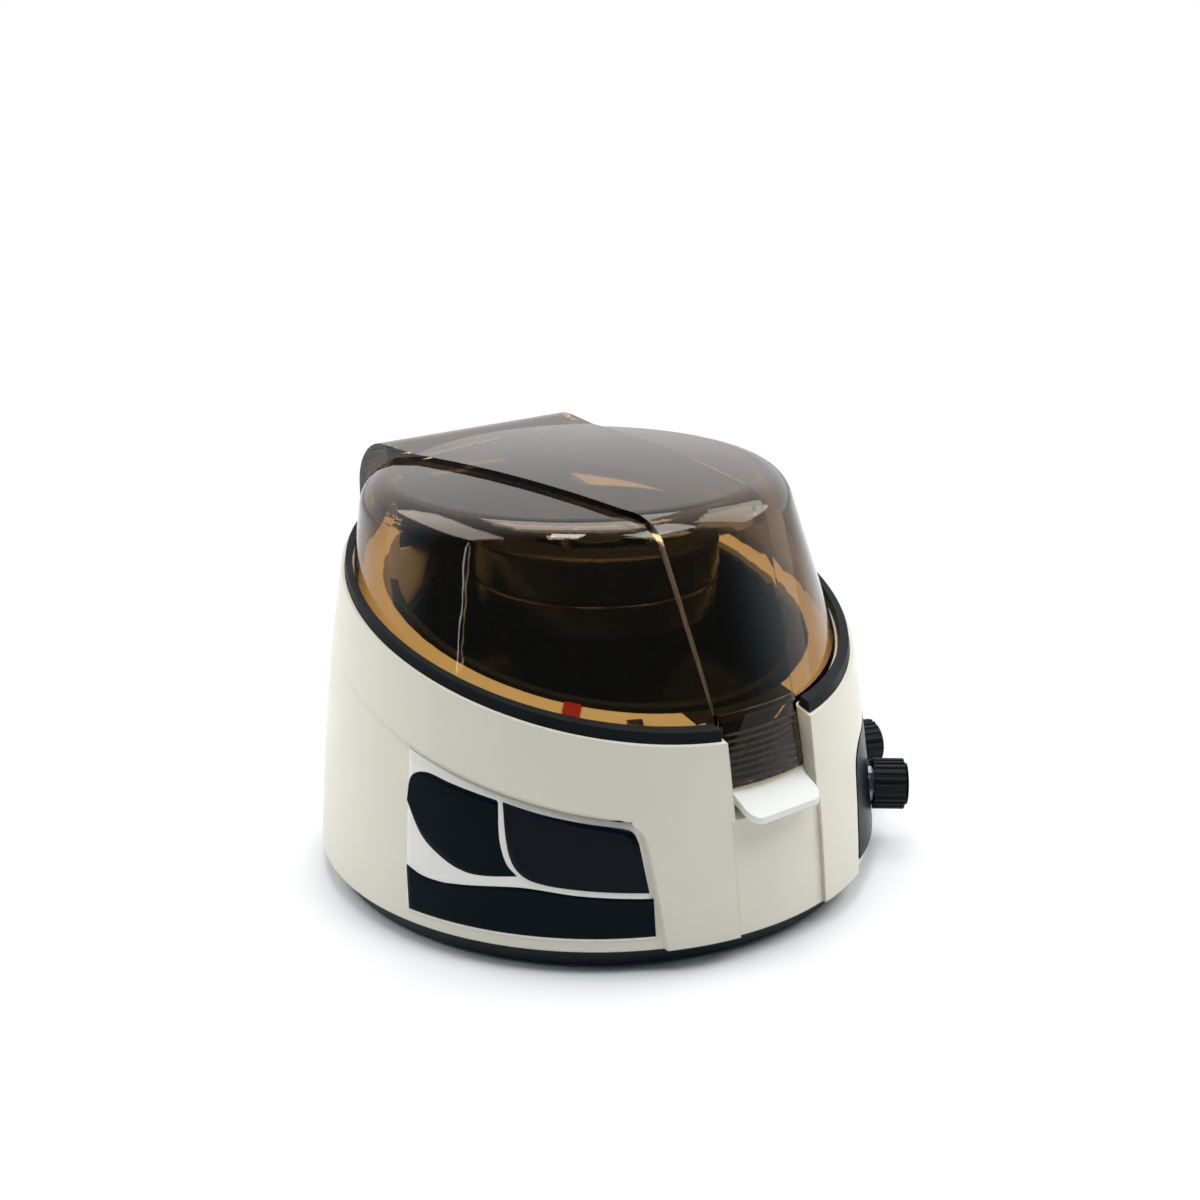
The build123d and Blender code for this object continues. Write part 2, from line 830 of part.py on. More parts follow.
def tongue_inner(height):
    """Radius of the tongue's inner face at a height."""
    return tongue_top_radius - tongue_wall + tongue_slope * (tongue_top - height)


with BuildPart() as lid_cavity:
    add(lid_form(-lid_wall, -lid_wall, lid_shoulder - lid_wall))
    add(inner_box & wedge(lid_wall))

with BuildPart() as tongue:
    add(
        turned(
            [
                (tongue_top_radius - tongue_wall - 0.4, tongue_top + 1),
                (tongue_top_radius - 0.6, tongue_top + 1),
                (tongue_top_radius, tongue_top),
                (tongue_foot_radius, tongue_foot),
                (tongue_foot_radius - tongue_wall, tongue_foot),
                (tongue_top_radius - tongue_wall, tongue_top),
            ]
        )
    )
    add(block((-tongue_half, -far, tongue_foot - 1), (tongue_half, 0, tongue_top + 2)), mode=Mode.INTERSECT)

with BuildPart() as catch_plate:
    low = tongue_foot + fit_gap
    high = tongue_top - catch_drop
    rib_back = tongue_inner(rib_high) - fit_gap / 2
    add(
        turned(
            [
                (tongue_inner(low) - catch_wall, low),
                (tongue_inner(low), low),
                (tongue_inner(high), high),
                (tongue_inner(high) - catch_wall, high),
            ]
        )
    )
    add(block((-rib_half, -far, rib_low), (rib_half, rib_face, rib_high)) & disc(rib_back, rib_low, rib_high))
    catch_half = tongue_half - catch_margin
    add(block((-catch_half, -far, 0), (catch_half, 0, far)), mode=Mode.INTERSECT)

with BuildPart() as lid_shell:
    add(lid_form(0, 0, lid_shoulder))
    add(lid_form(band_proud, band_rise, lid_shoulder + 1) & wedge(0))
    add(outer_box & wedge(0))
    add(lid_cavity.part, mode=Mode.SUBTRACT)
    for side in (-1, 1):
        near = min(side * knuckle_near, side * knuckle_far)
        bore_near = min(side * (knuckle_near - 1), side * (knuckle_far - 1.3))
        add(cross_rod(knuckle_round, near, near + knuckle_far - knuckle_near, hinge_y, hinge_z))
        add(
            cross_rod(
                hinge_pin_radius + running_gap / 2, bore_near, bore_near + knuckle_far - knuckle_near - 0.3,
                hinge_y, hinge_z,
            ),
            mode=Mode.SUBTRACT,
        )

with BuildPart() as lid_tongue:
    add(tongue.part)
    add(lid_shell.part, mode=Mode.SUBTRACT)

with BuildPart() as hinge_pin:
    add(cross_rod(hinge_pin_radius, -knuckle_far + 1.5, knuckle_far - 1.5, hinge_y, hinge_z))

# Release lever with its pin and spring
spring_pocket = (spring_near - 0.8, spring_near + spring_turns * spring_pitch + 0.8)

with BuildPart() as release_lever:
    with BuildSketch(Plane.YZ):
        with BuildLine():
            rise = (flap_root_z - flap_tip_z) / (flap_root_y - flap_tip_y)
            drop = flap_wall * (1 + rise**2) ** 0.5
            Polyline(
                (lever_y, lever_z + lever_hub - 0.1),
                (flap_root_y, flap_root_z),
                (flap_tip_y, flap_tip_z),
                (flap_tip_y, flap_tip_z - drop),
                (lever_y - 1, flap_root_z + rise * (lever_y - 1 - flap_root_y) - drop - 0.6),
                (lever_y, lever_z),
                close=True,
            )
        make_face()
    extrude(amount=flap_half, both=True)
    tips = release_lever.edges().filter_by(Axis.Z).group_by(Axis.Y)[0]
    fillet(tips, flap_corner)
    add(cross_rod(lever_hub, -lever_hub_half, lever_hub_half, lever_y, lever_z))
    add(
        side_prism(
            [
                (lever_y, lever_z - lever_hub + 0.3),
                (arm_front + arm_wall, lever_z - lever_hub + 0.3),
                (arm_front + arm_wall, arm_top),
                (arm_front, arm_top),
                (arm_front - nose_reach, nose_low + 0.6),
                (arm_front - nose_reach, nose_low),
                (arm_front, nose_low),
                (arm_front, lever_z + lever_hub - 0.8),
                (lever_y, lever_z + lever_hub - 0.8),
            ],
            hook_half,
        )
    )
    add(
        cross_rod(lever_pin_radius + 1.5 * running_gap, -lever_hub_half - 1, lever_hub_half + 1, lever_y, lever_z),
        mode=Mode.SUBTRACT,
    )
    add(cross_rod(lever_hub + 0.2, *spring_pocket, lever_y, lever_z), mode=Mode.SUBTRACT)

with BuildPart() as lever_pin:
    add(cross_rod(lever_pin_radius, -notch_half - 2, notch_half + 2, lever_y, lever_z))

with BuildPart() as lever_spring:
    with BuildLine():
        coil = Helix(
            pitch=spring_pitch,
            height=spring_turns * spring_pitch,
            radius=spring_coil,
            center=(spring_near, lever_y, lever_z),
            direction=(1, 0, 0),
        )
    with BuildSketch(Plane(origin=coil @ 0, z_dir=coil % 0)):
        Circle(spring_wire)
    sweep(path=coil, is_frenet=True)
    with BuildSketch(Plane(origin=coil @ 0, z_dir=-(coil % 0))):
        Circle(spring_wire)
    extrude(amount=-lever_y - liner_outer)
    with BuildSketch(Plane(origin=coil @ 1, z_dir=coil % 1)):
        Circle(spring_wire)
    extrude(amount=spring_reach)

# Display
film_top = overlay_lift + overlay_wall
module_back = display_module_face - display_module_depth

with BuildPart() as display_overlay:
    add(cheek_film(-1, overlay_lift, film_top, overlay_margin, overlay_back, overlay_bottom))

with BuildPart() as display_window:
    add(cheek_film(-1, film_top, film_top + window_wall, overlay_margin + 1.0, window_back, window_bottom))

with BuildPart() as display_module:
    low = display_height - display_module_size[1] / 2
    high = display_height + display_module_size[1] / 2
    add(radial_block(display_angle, display_module_size[0], module_back, display_module_face, low, high))

with BuildPart() as display_board:
    low = display_height - display_board_size[1] / 2
    high = display_height + display_board_size[1] / 2
    add(radial_block(display_angle, display_board_size[0], module_back - board_wall, module_back, low, high))

# Knobs with their potentiometers
with BuildPart() as control_overlay:
    add(cheek_film(1, overlay_lift, overlay_lift + control_wall, overlay_margin, overlay_back, overlay_bottom))
    for angle in knob_angles:
        add(radial_rod(angle, pot_nut_radius + 0.4, pot_back, far, knob_height), mode=Mode.SUBTRACT)


def knob(angle):
    """Ribbed knob on a level axis, hollow over the nut, with a blind bore for its shaft."""
    with BuildPart() as form:
        with BuildSketch(radial_plane(angle, knob_start, knob_height)):
            Circle(knob_radius)
            with PolarLocations(knob_radius, knob_ribs):
                Circle(knob_rib)
        extrude(amount=knob_length)
        with BuildSketch(radial_plane(angle, knob_start + knob_length, knob_height)):
            Circle(knob_radius + knob_rib)
            Circle(knob_radius - 0.9, mode=Mode.SUBTRACT)
        extrude(amount=-1.0, taper=-40, mode=Mode.SUBTRACT)
        add(radial_rod(angle, knob_hollow_radius, 0, knob_start + knob_hollow_depth, knob_height), mode=Mode.SUBTRACT)
        bore = pot_shaft_radius + running_gap
        add(radial_rod(angle, bore, 0, knob_shaft_end + 0.5, knob_height), mode=Mode.SUBTRACT)
    return form.part


def pot(angle):
    """Round potentiometer body with its neck, bored for the shaft."""
    with BuildPart() as form:
        add(radial_rod(angle, pot_radius, pot_back, pot_face, knob_height))
        add(radial_rod(angle, pot_neck_radius, pot_face, pot_neck_end, knob_height))
        bore = pot_shaft_radius + running_gap
        add(radial_rod(angle, bore, pot_shaft_start - 0.1, far, knob_height), mode=Mode.SUBTRACT)
    return form.part


def pot_shaft(angle):
    """Shaft that the knob turns."""
    return radial_rod(angle, pot_shaft_radius, pot_shaft_start, knob_shaft_end, knob_height)


with BuildPart() as pot_nuts:
    for angle in knob_angles:
        seat = cheek_radius(angle, knob_height - pot_nut_radius)
        with BuildSketch(radial_plane(angle, seat, knob_height)):
            RegularPolygon(pot_nut_radius, 6)
            Circle(pot_neck_radius + 0.1, mode=Mode.SUBTRACT)
        extrude(amount=pot_nut_wall)

# Back panel, inlet and power switch
with BuildPart() as rear_panel:
    add(block((-panel_half, panel_back, panel_low), (panel_half, panel_face, panel_high)))
    for x, size in ((inlet_x, inlet_body), (switch_x, switch_body)):
        half_x = size[0] / 2 + fit_gap
        half_z = size[1] / 2 + fit_gap
        add(
            block((x - half_x, panel_back - 1, socket_z - half_z), (x + half_x, panel_face + 1, socket_z + half_z)),
            mode=Mode.SUBTRACT,
        )


def panel_piece(x, body, back, flange, mouth, mouth_back):
    """Box set in the back panel with a thin flange outside it and a mouth that opens backwards."""
    with BuildPart() as form:
        add(
            block((x - body[0] / 2, back, socket_z - body[1] / 2), (x + body[0] / 2, panel_face, socket_z + body[1] / 2))
        )
        with BuildSketch(Plane(origin=(x, panel_face, socket_z), x_dir=(-1, 0, 0), z_dir=(0, 1, 0))):
            RectangleRounded(flange[0], flange[1], 2)
        extrude(amount=flange_wall)
        with BuildSketch(Plane(origin=(x, panel_face + flange_wall, socket_z), x_dir=(-1, 0, 0), z_dir=(0, 1, 0))):
            RectangleRounded(mouth[0], mouth[1], 1.2)
        extrude(amount=-(panel_face + flange_wall - mouth_back), mode=Mode.SUBTRACT)
    return form.part


inlet_floor = panel_face + flange_wall - inlet_depth

with BuildPart() as power_inlet:
    add(panel_piece(inlet_x, inlet_body, inlet_back, inlet_flange, inlet_recess, inlet_floor))
    corner_x = inlet_recess[0] / 2
    corner_z = inlet_recess[1] / 2
    for side in (-1, 1):
        with BuildSketch(Plane(origin=(inlet_x, inlet_floor, socket_z), x_dir=(-1, 0, 0), z_dir=(0, 1, 0))):
            with BuildLine():
                Polyline(
                    (side * (corner_x + 0.1), corner_z + 0.1),
                    (side * (corner_x - 4.5), corner_z + 0.1),
                    (side * (corner_x + 0.1), corner_z - 4.5),
                    close=True,
                )
            make_face()
        extrude(amount=inlet_depth - 1.0)

with BuildPart() as inlet_pins:
    for x, z in ((-7, -2), (7, -2), (0, 2.5)):
        add(
            block(
                (inlet_x + x - pin_wall / 2, inlet_floor, socket_z + z - pin_width / 2),
                (inlet_x + x + pin_wall / 2, inlet_floor + pin_length, socket_z + z + pin_width / 2),
            )
        )

with BuildPart() as switch_housing:
    add(panel_piece(switch_x, switch_body, switch_back, switch_flange, switch_mouth, switch_back + 2))
    add(
        cross_rod(
            rocker_stub + running_gap,
            switch_x - rocker_half - 0.8,
            switch_x + rocker_half + 0.8,
            rocker_pivot_y,
            socket_z,
        ),
        mode=Mode.SUBTRACT,
    )

with BuildPart() as power_rocker:
    long_half = switch_mouth[1] / 2 - 0.9
    add(
        side_prism(
            [
                (-3.5, -2.5),
                (-3.5, 2.5),
                (1.0, long_half),
                (4.6, long_half),
                (3.4, 0),
                (4.6, -long_half),
                (1.0, -long_half),
            ],
            rocker_half,
        ).moved(Location((switch_x, rocker_pivot_y, socket_z), (-rocker_tilt, 0, 0)))
    )
    add(
        cross_rod(
            rocker_stub, switch_x - rocker_half - 0.7, switch_x + rocker_half + 0.7, rocker_pivot_y, socket_z
        )
    )

# Motor
can_floor = can_bottom + can_wall
bearing_high = bearing_low + bearing_width
upper_bearing = can_top - bearing_width

with BuildPart() as motor_can:
    add(tube(can_radius - can_wall, can_radius, can_bottom, can_top))
    add(disc(can_radius, can_bottom, can_floor))
    add(tube(bearing_radius, motor_boss, can_floor, bearing_high))

with BuildPart() as motor_cap:
    add(tube(bearing_radius - 1.5, can_radius, can_top, cap_top))
    add(tube(bearing_radius, motor_boss, upper_bearing, can_top))

with BuildPart() as motor_magnets:
    add(tube(can_radius - can_wall - magnet_wall, can_radius - can_wall, magnet_low, magnet_high))
    add(block((-can_radius, -3, 0), (can_radius, 3, far)), mode=Mode.SUBTRACT)

with BuildPart() as motor_bearings:
    add(tube(shaft_radius, bearing_radius, bearing_low, bearing_high))
    add(tube(shaft_radius, bearing_radius, upper_bearing, can_top))

with BuildPart() as motor_armature:
    with BuildSketch(Plane.XY.offset(armature_low)):
        Circle(armature_radius)
        with PolarLocations(armature_radius - 3, 5):
            Rectangle(8, 2.2, mode=Mode.SUBTRACT)
        Circle(shaft_radius, mode=Mode.SUBTRACT)
    extrude(amount=armature_high - armature_low)

with BuildPart() as motor_shaft:
    add(disc(shaft_radius, shaft_bottom, rotor_dish + nut_height - nut_cap - 0.5))
    add(disc(collar_radius, rotor_bottom - collar_height, rotor_bottom))

with BuildPart() as motor_bracket:
    with BuildSketch(Plane.XY.offset(cap_top)):
        Circle(bracket_radius)
        for angle in foot_angles[:2]:
            Rectangle(2 * post_place, bracket_arm, rotation=angle)
        with Locations(*post_places):
            Circle(bracket_arm / 2)
        with Locations(*post_places):
            Circle(screw_radius + fit_gap, mode=Mode.SUBTRACT)
        Circle(bracket_hole, mode=Mode.SUBTRACT)
    extrude(amount=bracket_wall)

with BuildPart() as motor_isolators:
    add(upright_rods(post_radius, post_places, post_top, cap_top))
    add(upright_rods(screw_radius + fit_gap, post_places, post_top, cap_top), mode=Mode.SUBTRACT)

with BuildPart() as motor_screws:
    seat = cap_top + bracket_wall
    add(upright_rods(screw_head_radius, post_places, seat, seat + screw_head_height))
    add(upright_rods(screw_radius, post_places, seat - motor_screw_length, seat))

# Rotor and its nut
bore = shaft_radius + 0.03

with BuildPart() as rotor:
    add(
        turned(
            [
                (bore, rotor_bottom),
                (rotor_foot_radius, rotor_bottom),
                (rotor_radius, rotor_skirt),
                (rotor_radius, rotor_groove - rotor_groove_depth),
                (rotor_radius - rotor_groove_depth, rotor_groove),
                (rotor_radius, rotor_groove + rotor_groove_depth),
                (rotor_radius, rotor_top - 2),
                (rotor_radius - 0.6, rotor_top - 0.6),
                (rotor_radius - 2, rotor_top),
                (rotor_dish_radius + (rotor_top - rotor_dish) / tan(radians(tube_tilt)), rotor_top),
                (rotor_dish_radius, rotor_dish),
                (bore, rotor_dish),
            ]
        )
    )
    mouth_z = rotor_dish + (tube_mouth - rotor_dish_radius) * tan(radians(tube_tilt))
    for i in range(tube_count):
        turn = radians(360 / tube_count * i + 30)
        tilt = radians(tube_tilt)
        along = Vector(sin(turn) * sin(tilt), -cos(turn) * sin(tilt), -cos(tilt))
        mouth = Vector(tube_mouth * sin(turn), -tube_mouth * cos(turn), mouth_z)
        with BuildSketch(Plane(origin=mouth - along * 8, x_dir=(cos(turn), sin(turn), 0), z_dir=along)):
            Circle(tube_radius)
        extrude(amount=tube_depth + 8, mode=Mode.SUBTRACT)

with BuildPart() as rotor_nut:
    with BuildSketch(Plane.XY.offset(rotor_dish)):
        Circle(nut_radius)
        with PolarLocations(nut_radius + 0.6, nut_flutes):
            Circle(1.3, mode=Mode.SUBTRACT)
    extrude(amount=nut_height)
    chamfer(rotor_nut.edges().group_by(Axis.Z)[-1], 0.6)
    add(disc(bore, rotor_dish, rotor_dish + nut_height - nut_cap), mode=Mode.SUBTRACT)

# Main board
with BuildPart() as main_board:
    low = (board_x - board_size[0] / 2, board_y - board_size[1] / 2, board_bottom)
    high = (board_x + board_size[0] / 2, board_y + board_size[1] / 2, board_bottom + board_wall)
    add(block(low, high))

with BuildPart() as power_converter:
    seat = board_bottom + board_wall
    low = (board_x - converter_size[0] / 2, board_y + 10 - converter_size[1] / 2, seat)
    high = (board_x + converter_size[0] / 2, board_y + 10 + converter_size[1] / 2, seat + converter_size[2])
    add(block(low, high))

with BuildPart() as capacitor:
    seat = board_bottom + board_wall
    add(upright_rods(capacitor_radius, [(board_x, board_y - 15)], seat, seat + capacitor_height))

pieces = {
    "housing_shell": housing_shell.part,
    "base_plate": base_plate.part,
    "feet": feet.part,
    "base_screws": base_screws.part,
    "rim_gasket": rim_gasket.part,
    "deck_liner": deck_liner.part,
    "bowl": bowl.part,
    "front_bridge": front_bridge.part,
    "red_tab": red_tab.part,
    "lid_switch": lid_switch.part,
    "lid_clip": lid_clip.part,
    "hinge_block": hinge_block.part,
    "lid_shell": lid_shell.part,
    "lid_tongue": lid_tongue.part,
    "catch_plate": catch_plate.part,
    "hinge_pin": hinge_pin.part,
    "release_lever": release_lever.part,
    "lever_pin": lever_pin.part,
    "lever_spring": lever_spring.part,
    "display_overlay": display_overlay.part,
    "display_window": display_window.part,
    "display_module": display_module.part,
    "display_board": display_board.part,
    "control_overlay": control_overlay.part,
    "speed_knob": knob(knob_angles[0]),
    "time_knob": knob(knob_angles[1]),
    "speed_pot": pot(knob_angles[0]),
    "time_pot": pot(knob_angles[1]),
    "speed_pot_shaft": pot_shaft(knob_angles[0]),
    "time_pot_shaft": pot_shaft(knob_angles[1]),
    "pot_nuts": pot_nuts.part,
    "rear_panel": rear_panel.part,
    "power_inlet": power_inlet.part,
    "inlet_pins": inlet_pins.part,
    "switch_housing": switch_housing.part,
    "power_rocker": power_rocker.part,
    "motor_can": motor_can.part,
    "motor_cap": motor_cap.part,
    "motor_magnets": motor_magnets.part,
    "motor_bearings": motor_bearings.part,
    "motor_armature": motor_armature.part,
    "motor_shaft": motor_shaft.part,
    "motor_bracket": motor_bracket.part,
    "motor_isolators": motor_isolators.part,
    "motor_screws": motor_screws.part,
    "rotor": rotor.part,
    "rotor_nut": rotor_nut.part,
    "main_board": main_board.part,
    "power_converter": power_converter.part,
    "capacitor": capacitor.part,
}

os.makedirs("parts", exist_ok=True)
for name, piece in pieces.items():
    piece.label = name
    export_step(piece, f"parts/{name}.step")
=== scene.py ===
import json

import bmesh
import bpy
import numpy as np
from bpy.props import FloatProperty, FloatVectorProperty, IntProperty, PointerProperty
from mathutils import Matrix, Vector


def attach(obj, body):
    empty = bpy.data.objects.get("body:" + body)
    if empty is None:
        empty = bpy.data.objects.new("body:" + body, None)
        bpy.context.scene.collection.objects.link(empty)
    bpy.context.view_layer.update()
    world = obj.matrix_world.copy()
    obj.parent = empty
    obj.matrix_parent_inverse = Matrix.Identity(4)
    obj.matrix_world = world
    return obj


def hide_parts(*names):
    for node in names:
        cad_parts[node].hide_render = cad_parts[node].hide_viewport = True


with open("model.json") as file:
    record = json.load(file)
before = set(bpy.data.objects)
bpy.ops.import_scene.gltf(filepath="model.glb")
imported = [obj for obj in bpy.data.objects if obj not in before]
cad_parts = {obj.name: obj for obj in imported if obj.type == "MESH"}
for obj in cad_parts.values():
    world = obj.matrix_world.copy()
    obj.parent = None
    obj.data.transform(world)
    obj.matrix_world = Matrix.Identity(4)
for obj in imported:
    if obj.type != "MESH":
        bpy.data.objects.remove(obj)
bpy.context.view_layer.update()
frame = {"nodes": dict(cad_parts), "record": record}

bl_info = {
    "name": "Mini centrifuge",
    "version": (1, 0, 0),
    "blender": (4, 5, 0),
    "location": "3D View > Sidebar > Centrifuge",
    "description": "Builds the finish of a round bench centrifuge with a sloping rim and a smoky lid",
    "category": "Object",
}

MM = 0.001
NODES = frame["nodes"]
WHITE = (1.0, 1.0, 1.0, 1.0)

# The sizes of the object are in millimetres, and its angles in degrees from the front, about the rotor's axis

# The housing's side is an arc through three (radius, height) points, and leans back a little about a level line
SIDE_POINTS = ((89.7, 7.5), (85.3, 52.0), (74.7, 113.0))
LEAN = np.radians(2.8)
LEAN_HEIGHT = 20.0

# The rim slopes down to the front. A cheek is sunk into the side, and its upper edge is parallel to the rim.
RIM_HEIGHT = 86.4
RIM_SLOPE = np.tan(np.radians(15.0))
CHEEK_DROP = 20.7
CHEEK_INSET = 0.48
CHEEK_SHIFT = 1.27
CHEEK_MIDDLE = 45.0
CHEEK_ROUNDS = 20

# Sticker on the left cheek: walls of its films, and the edge curves of its areas as (angle, height) points
GROUND_WALL = 0.2
PRINT_WALL = 0.1
WINDOW_WALL = 0.5
GROUND_MARGIN = 1.4
GROUND_ENDS = (-78.2, -30.1)
GROUND_FOOT = (-76.7, -27.3, 10.9)
LEAF_TOP = ((-78.0, 44.3), (-77.3, 51.6), (-73.6, 54.2), (-67.6, 52.8), (-57.4, 50.2))
LEAF_SIDE = ((-57.4, 50.2), (-56.9, 39.4), (-55.4, 32.4), (-53.2, 28.9))
LEAF_FOOT = ((-78.0, 44.3), (-73.9, 35.4), (-68.9, 30.4), (-64.5, 28.0), (-60.3, 27.6), (-53.2, 28.9))
STRIP_TOP = (
    (-77.2, 25.0), (-73.4, 23.3), (-68.7, 23.0), (-64.3, 23.7), (-52.4, 25.7), (-41.2, 24.3), (-27.6, 22.8)
)
STRIP_FOOT = (-76.2, -27.3, 11.6)
WINDOW_TOP = ((-56.4, 50.0), (-48.9, 47.6), (-41.3, 45.6), (-33.9, 43.9), (-31.3, 42.5), (-30.2, 39.4))
WINDOW_SIDE = ((-30.2, 39.4), (-28.4, 24.7))
WINDOW_FOOT = (
    (-56.4, 50.0), (-55.5, 39.4), (-54.2, 32.8), (-52.0, 29.2), (-48.6, 27.4), (-41.2, 26.1), (-28.4, 24.7)
)
LEAF_STEPS = 12
WINDOW_STEPS = 10
EDGE_POINTS = 40
PATCH_COLUMNS = 60
PATCH_ROWS = 14

# The lid's tongue is part of a cone about the rotor's axis
TONGUE_TOP = 70.0
TONGUE_TOP_RADIUS = 76.9
TONGUE_SLOPE = 0.2335
TONGUE_HALF = 14.2
RIDGE_COLUMNS = 40
RIDGE_SIDES = 12

# The knobs' bodies and angles, their axes' height, their front face's radius, and the radius of the pad under them
KNOBS = (("speed_knob", 50.0), ("time_knob", 70.0))
KNOB_HEIGHT = 21.0
KNOB_END = 101.18
PAD_RADIUS = 88.9
TICK_POINTS = 4

# Studio, in metres
LAMP_AIM = (0.0, 0.0, 0.06)
LAMP_DISTANCE = 0.9
FLOOR_REACH = 4.0
FLOOR_FADE_START = 0.12
SENSOR_WIDTH = 36.0


def colour_property(name, description, red, green, blue):
    """Colour setting with its default in linear light."""
    return FloatVectorProperty(
        name=name, description=description, subtype="COLOR", size=3, min=0.0, max=1.0, default=(red, green, blue)
    )


def length_property(name, description, millimetres):
    """Length setting with its default given in millimetres."""
    return FloatProperty(
        name=name, description=description, default=millimetres * MM, min=0.0, precision=5, unit="LENGTH"
    )


class FinishSettings(bpy.types.PropertyGroup):
    """Colours of the plastics and films."""

    cream: colour_property("Housing", "Cream plastic of the housing and the ledge", 0.75, 0.7, 0.585)
    lever_white: colour_property("Lever", "White plastic of the release lever", 0.8, 0.79, 0.75)
    base_black: colour_property("Base", "Black plastic of the base and the hinge", 0.012, 0.017, 0.019)
    gasket_black: colour_property("Gasket", "Black rubber of the rim", 0.006, 0.009, 0.011)
    chamber_black: colour_property("Chamber", "Grained black plastic of the bowl", 0.005, 0.008, 0.012)
    rotor_black: colour_property("Rotor", "Black plastic of the rotor", 0.003, 0.005, 0.008)
    lid_tint: colour_property("Lid tint", "Share of light that passes one wall of the lid", 0.62, 0.43, 0.2)
    tab_red: colour_property("Tab", "Red plastic of the tab", 0.42, 0.012, 0.012)
    film_dark: colour_property("Film", "Dark print of the sticker", 0.002, 0.006, 0.009)
    film_pale: colour_property("Sticker", "Pale ground of the sticker", 0.83, 0.79, 0.74)
    window_dark: colour_property("Window", "Glossy window over the digits", 0.004, 0.006, 0.01)
    knob_black: colour_property("Knobs", "Black plastic of the knobs", 0.009, 0.011, 0.014)
    mark_white: colour_property("Marks", "White print of the dials", 0.75, 0.75, 0.72)
    ridge_bronze: colour_property("Ridges", "Smoky ridges of the tongue over the black plate", 0.045, 0.026, 0.015)


class LidSettings(bpy.types.PropertyGroup):
    """Ridges and refraction of the lid."""

    ridge_count: IntProperty(name="Ridges", description="Fine ridges across the tongue", default=8, min=1)
    ridge_foot: length_property("First ridge", "Height of the lowest ridge over the bench", 52.0)
    ridge_pitch: length_property("Pitch", "Distance between two ridges", 1.9)
    ridge_half: length_property("Half width", "Half the height of a ridge's section", 0.45)
    ridge_rise: length_property("Rise", "How far a ridge stands off the tongue", 0.25)
    ior: FloatProperty(name="IOR", description="Refraction of the lid's plastic", default=1.49, min=1.0)


class StickerSettings(bpy.types.PropertyGroup):
    """How far the films of the sticker stand off the cheek."""

    ground_lift: length_property("Ground", "Top of the sticker's ground over the cheek", 0.28)
    print_lift: length_property("Print", "Top of the printed areas over the cheek", 0.34)
    window_lift: length_property("Window", "Top of the display window over the cheek", 0.6)


class DialSettings(bpy.types.PropertyGroup):
    """Printed scales of the two knobs, and the line on each knob."""

    tick_count: IntProperty(name="Ticks", description="Ticks of a scale", default=11, min=2)
    tick_turn: FloatProperty(name="Turn", description="Half of the scale's turn, in degrees", default=140.0)
    tick_inner: length_property("Inner", "Start of a tick from the knob's axis", 9.8)
    tick_outer: length_property("Outer", "End of a tick from the knob's axis", 11.6)
    tick_half: length_property("Half tick", "Half the width of a tick", 0.3)
    tick_lift: length_property("Lift", "Top of a tick over the cheek", 1.4)
    mark_inner: length_property("Mark start", "Start of a knob's line from its axis", 2.4)
    mark_outer: length_property("Mark end", "End of a knob's line from its axis", 6.3)
    mark_half: length_property("Half mark", "Half the width of a knob's line", 0.45)


class StageSettings(bpy.types.PropertyGroup):
    """Camera, lamps, room and floor."""

    azimuth: FloatProperty(name="Azimuth", description="Camera's angle from the front, in degrees", default=-38.38)
    elevation: FloatProperty(name="Elevation", description="Camera's angle over the bench, in degrees", default=18.38)
    distance: length_property("Distance", "Camera to the middle of the object", 570.47)
    target_side: length_property("Side", "Aim beside the rotor's axis", 1.2)
    target_height: length_property("Height", "Aim over the bench", 83.13)
    lens: FloatProperty(name="Lens", description="Focal length in millimetres", default=54.0)
    side_power: FloatProperty(name="Side lamps", description="Power of the lamps beside the object", default=3.2)
    top_power: FloatProperty(name="Top lamp", description="Power of the lamp over the object", default=2.5)
    front_power: FloatProperty(name="Front lamp", description="Power of the lamp high before the object", default=1.0)
    strip_power: FloatProperty(name="Strip", description="Power of the narrow lamp before the object", default=0.06)
    backdrop_level: FloatProperty(name="Backdrop", description="Level of the light from behind", default=1.0)
    room_level: FloatProperty(name="Room", description="Level of the light from the camera's side", default=0.07)
    room_tint: colour_property("Room tint", "Tint of the light from the camera's side", 0.35, 0.75, 1.0)
    through_level: FloatProperty(name="Through", description="Level of what is seen through the lid", default=0.12)
    floor_glow: FloatProperty(name="Floor", description="Share of plain white near the object", default=0.8)
    floor_near: length_property("Near", "Distance from the rotor's axis at which the plain white starts", 92.0)
    floor_rise: length_property("Rise", "Length over which it rises", 40.0)
    floor_reach: length_property("Reach", "Distance from the object at which the floor is plain white", 420.0)


class CentrifugeSettings(bpy.types.PropertyGroup):
    """All settings of the centrifuge."""

    finish: PointerProperty(type=FinishSettings)
    lid: PointerProperty(type=LidSettings)
    sticker: PointerProperty(type=StickerSettings)
    dial: PointerProperty(type=DialSettings)
    stage: PointerProperty(type=StageSettings)


def settings():
    """The scene's settings of this object."""
    return bpy.context.scene.centrifuge


# Node trees


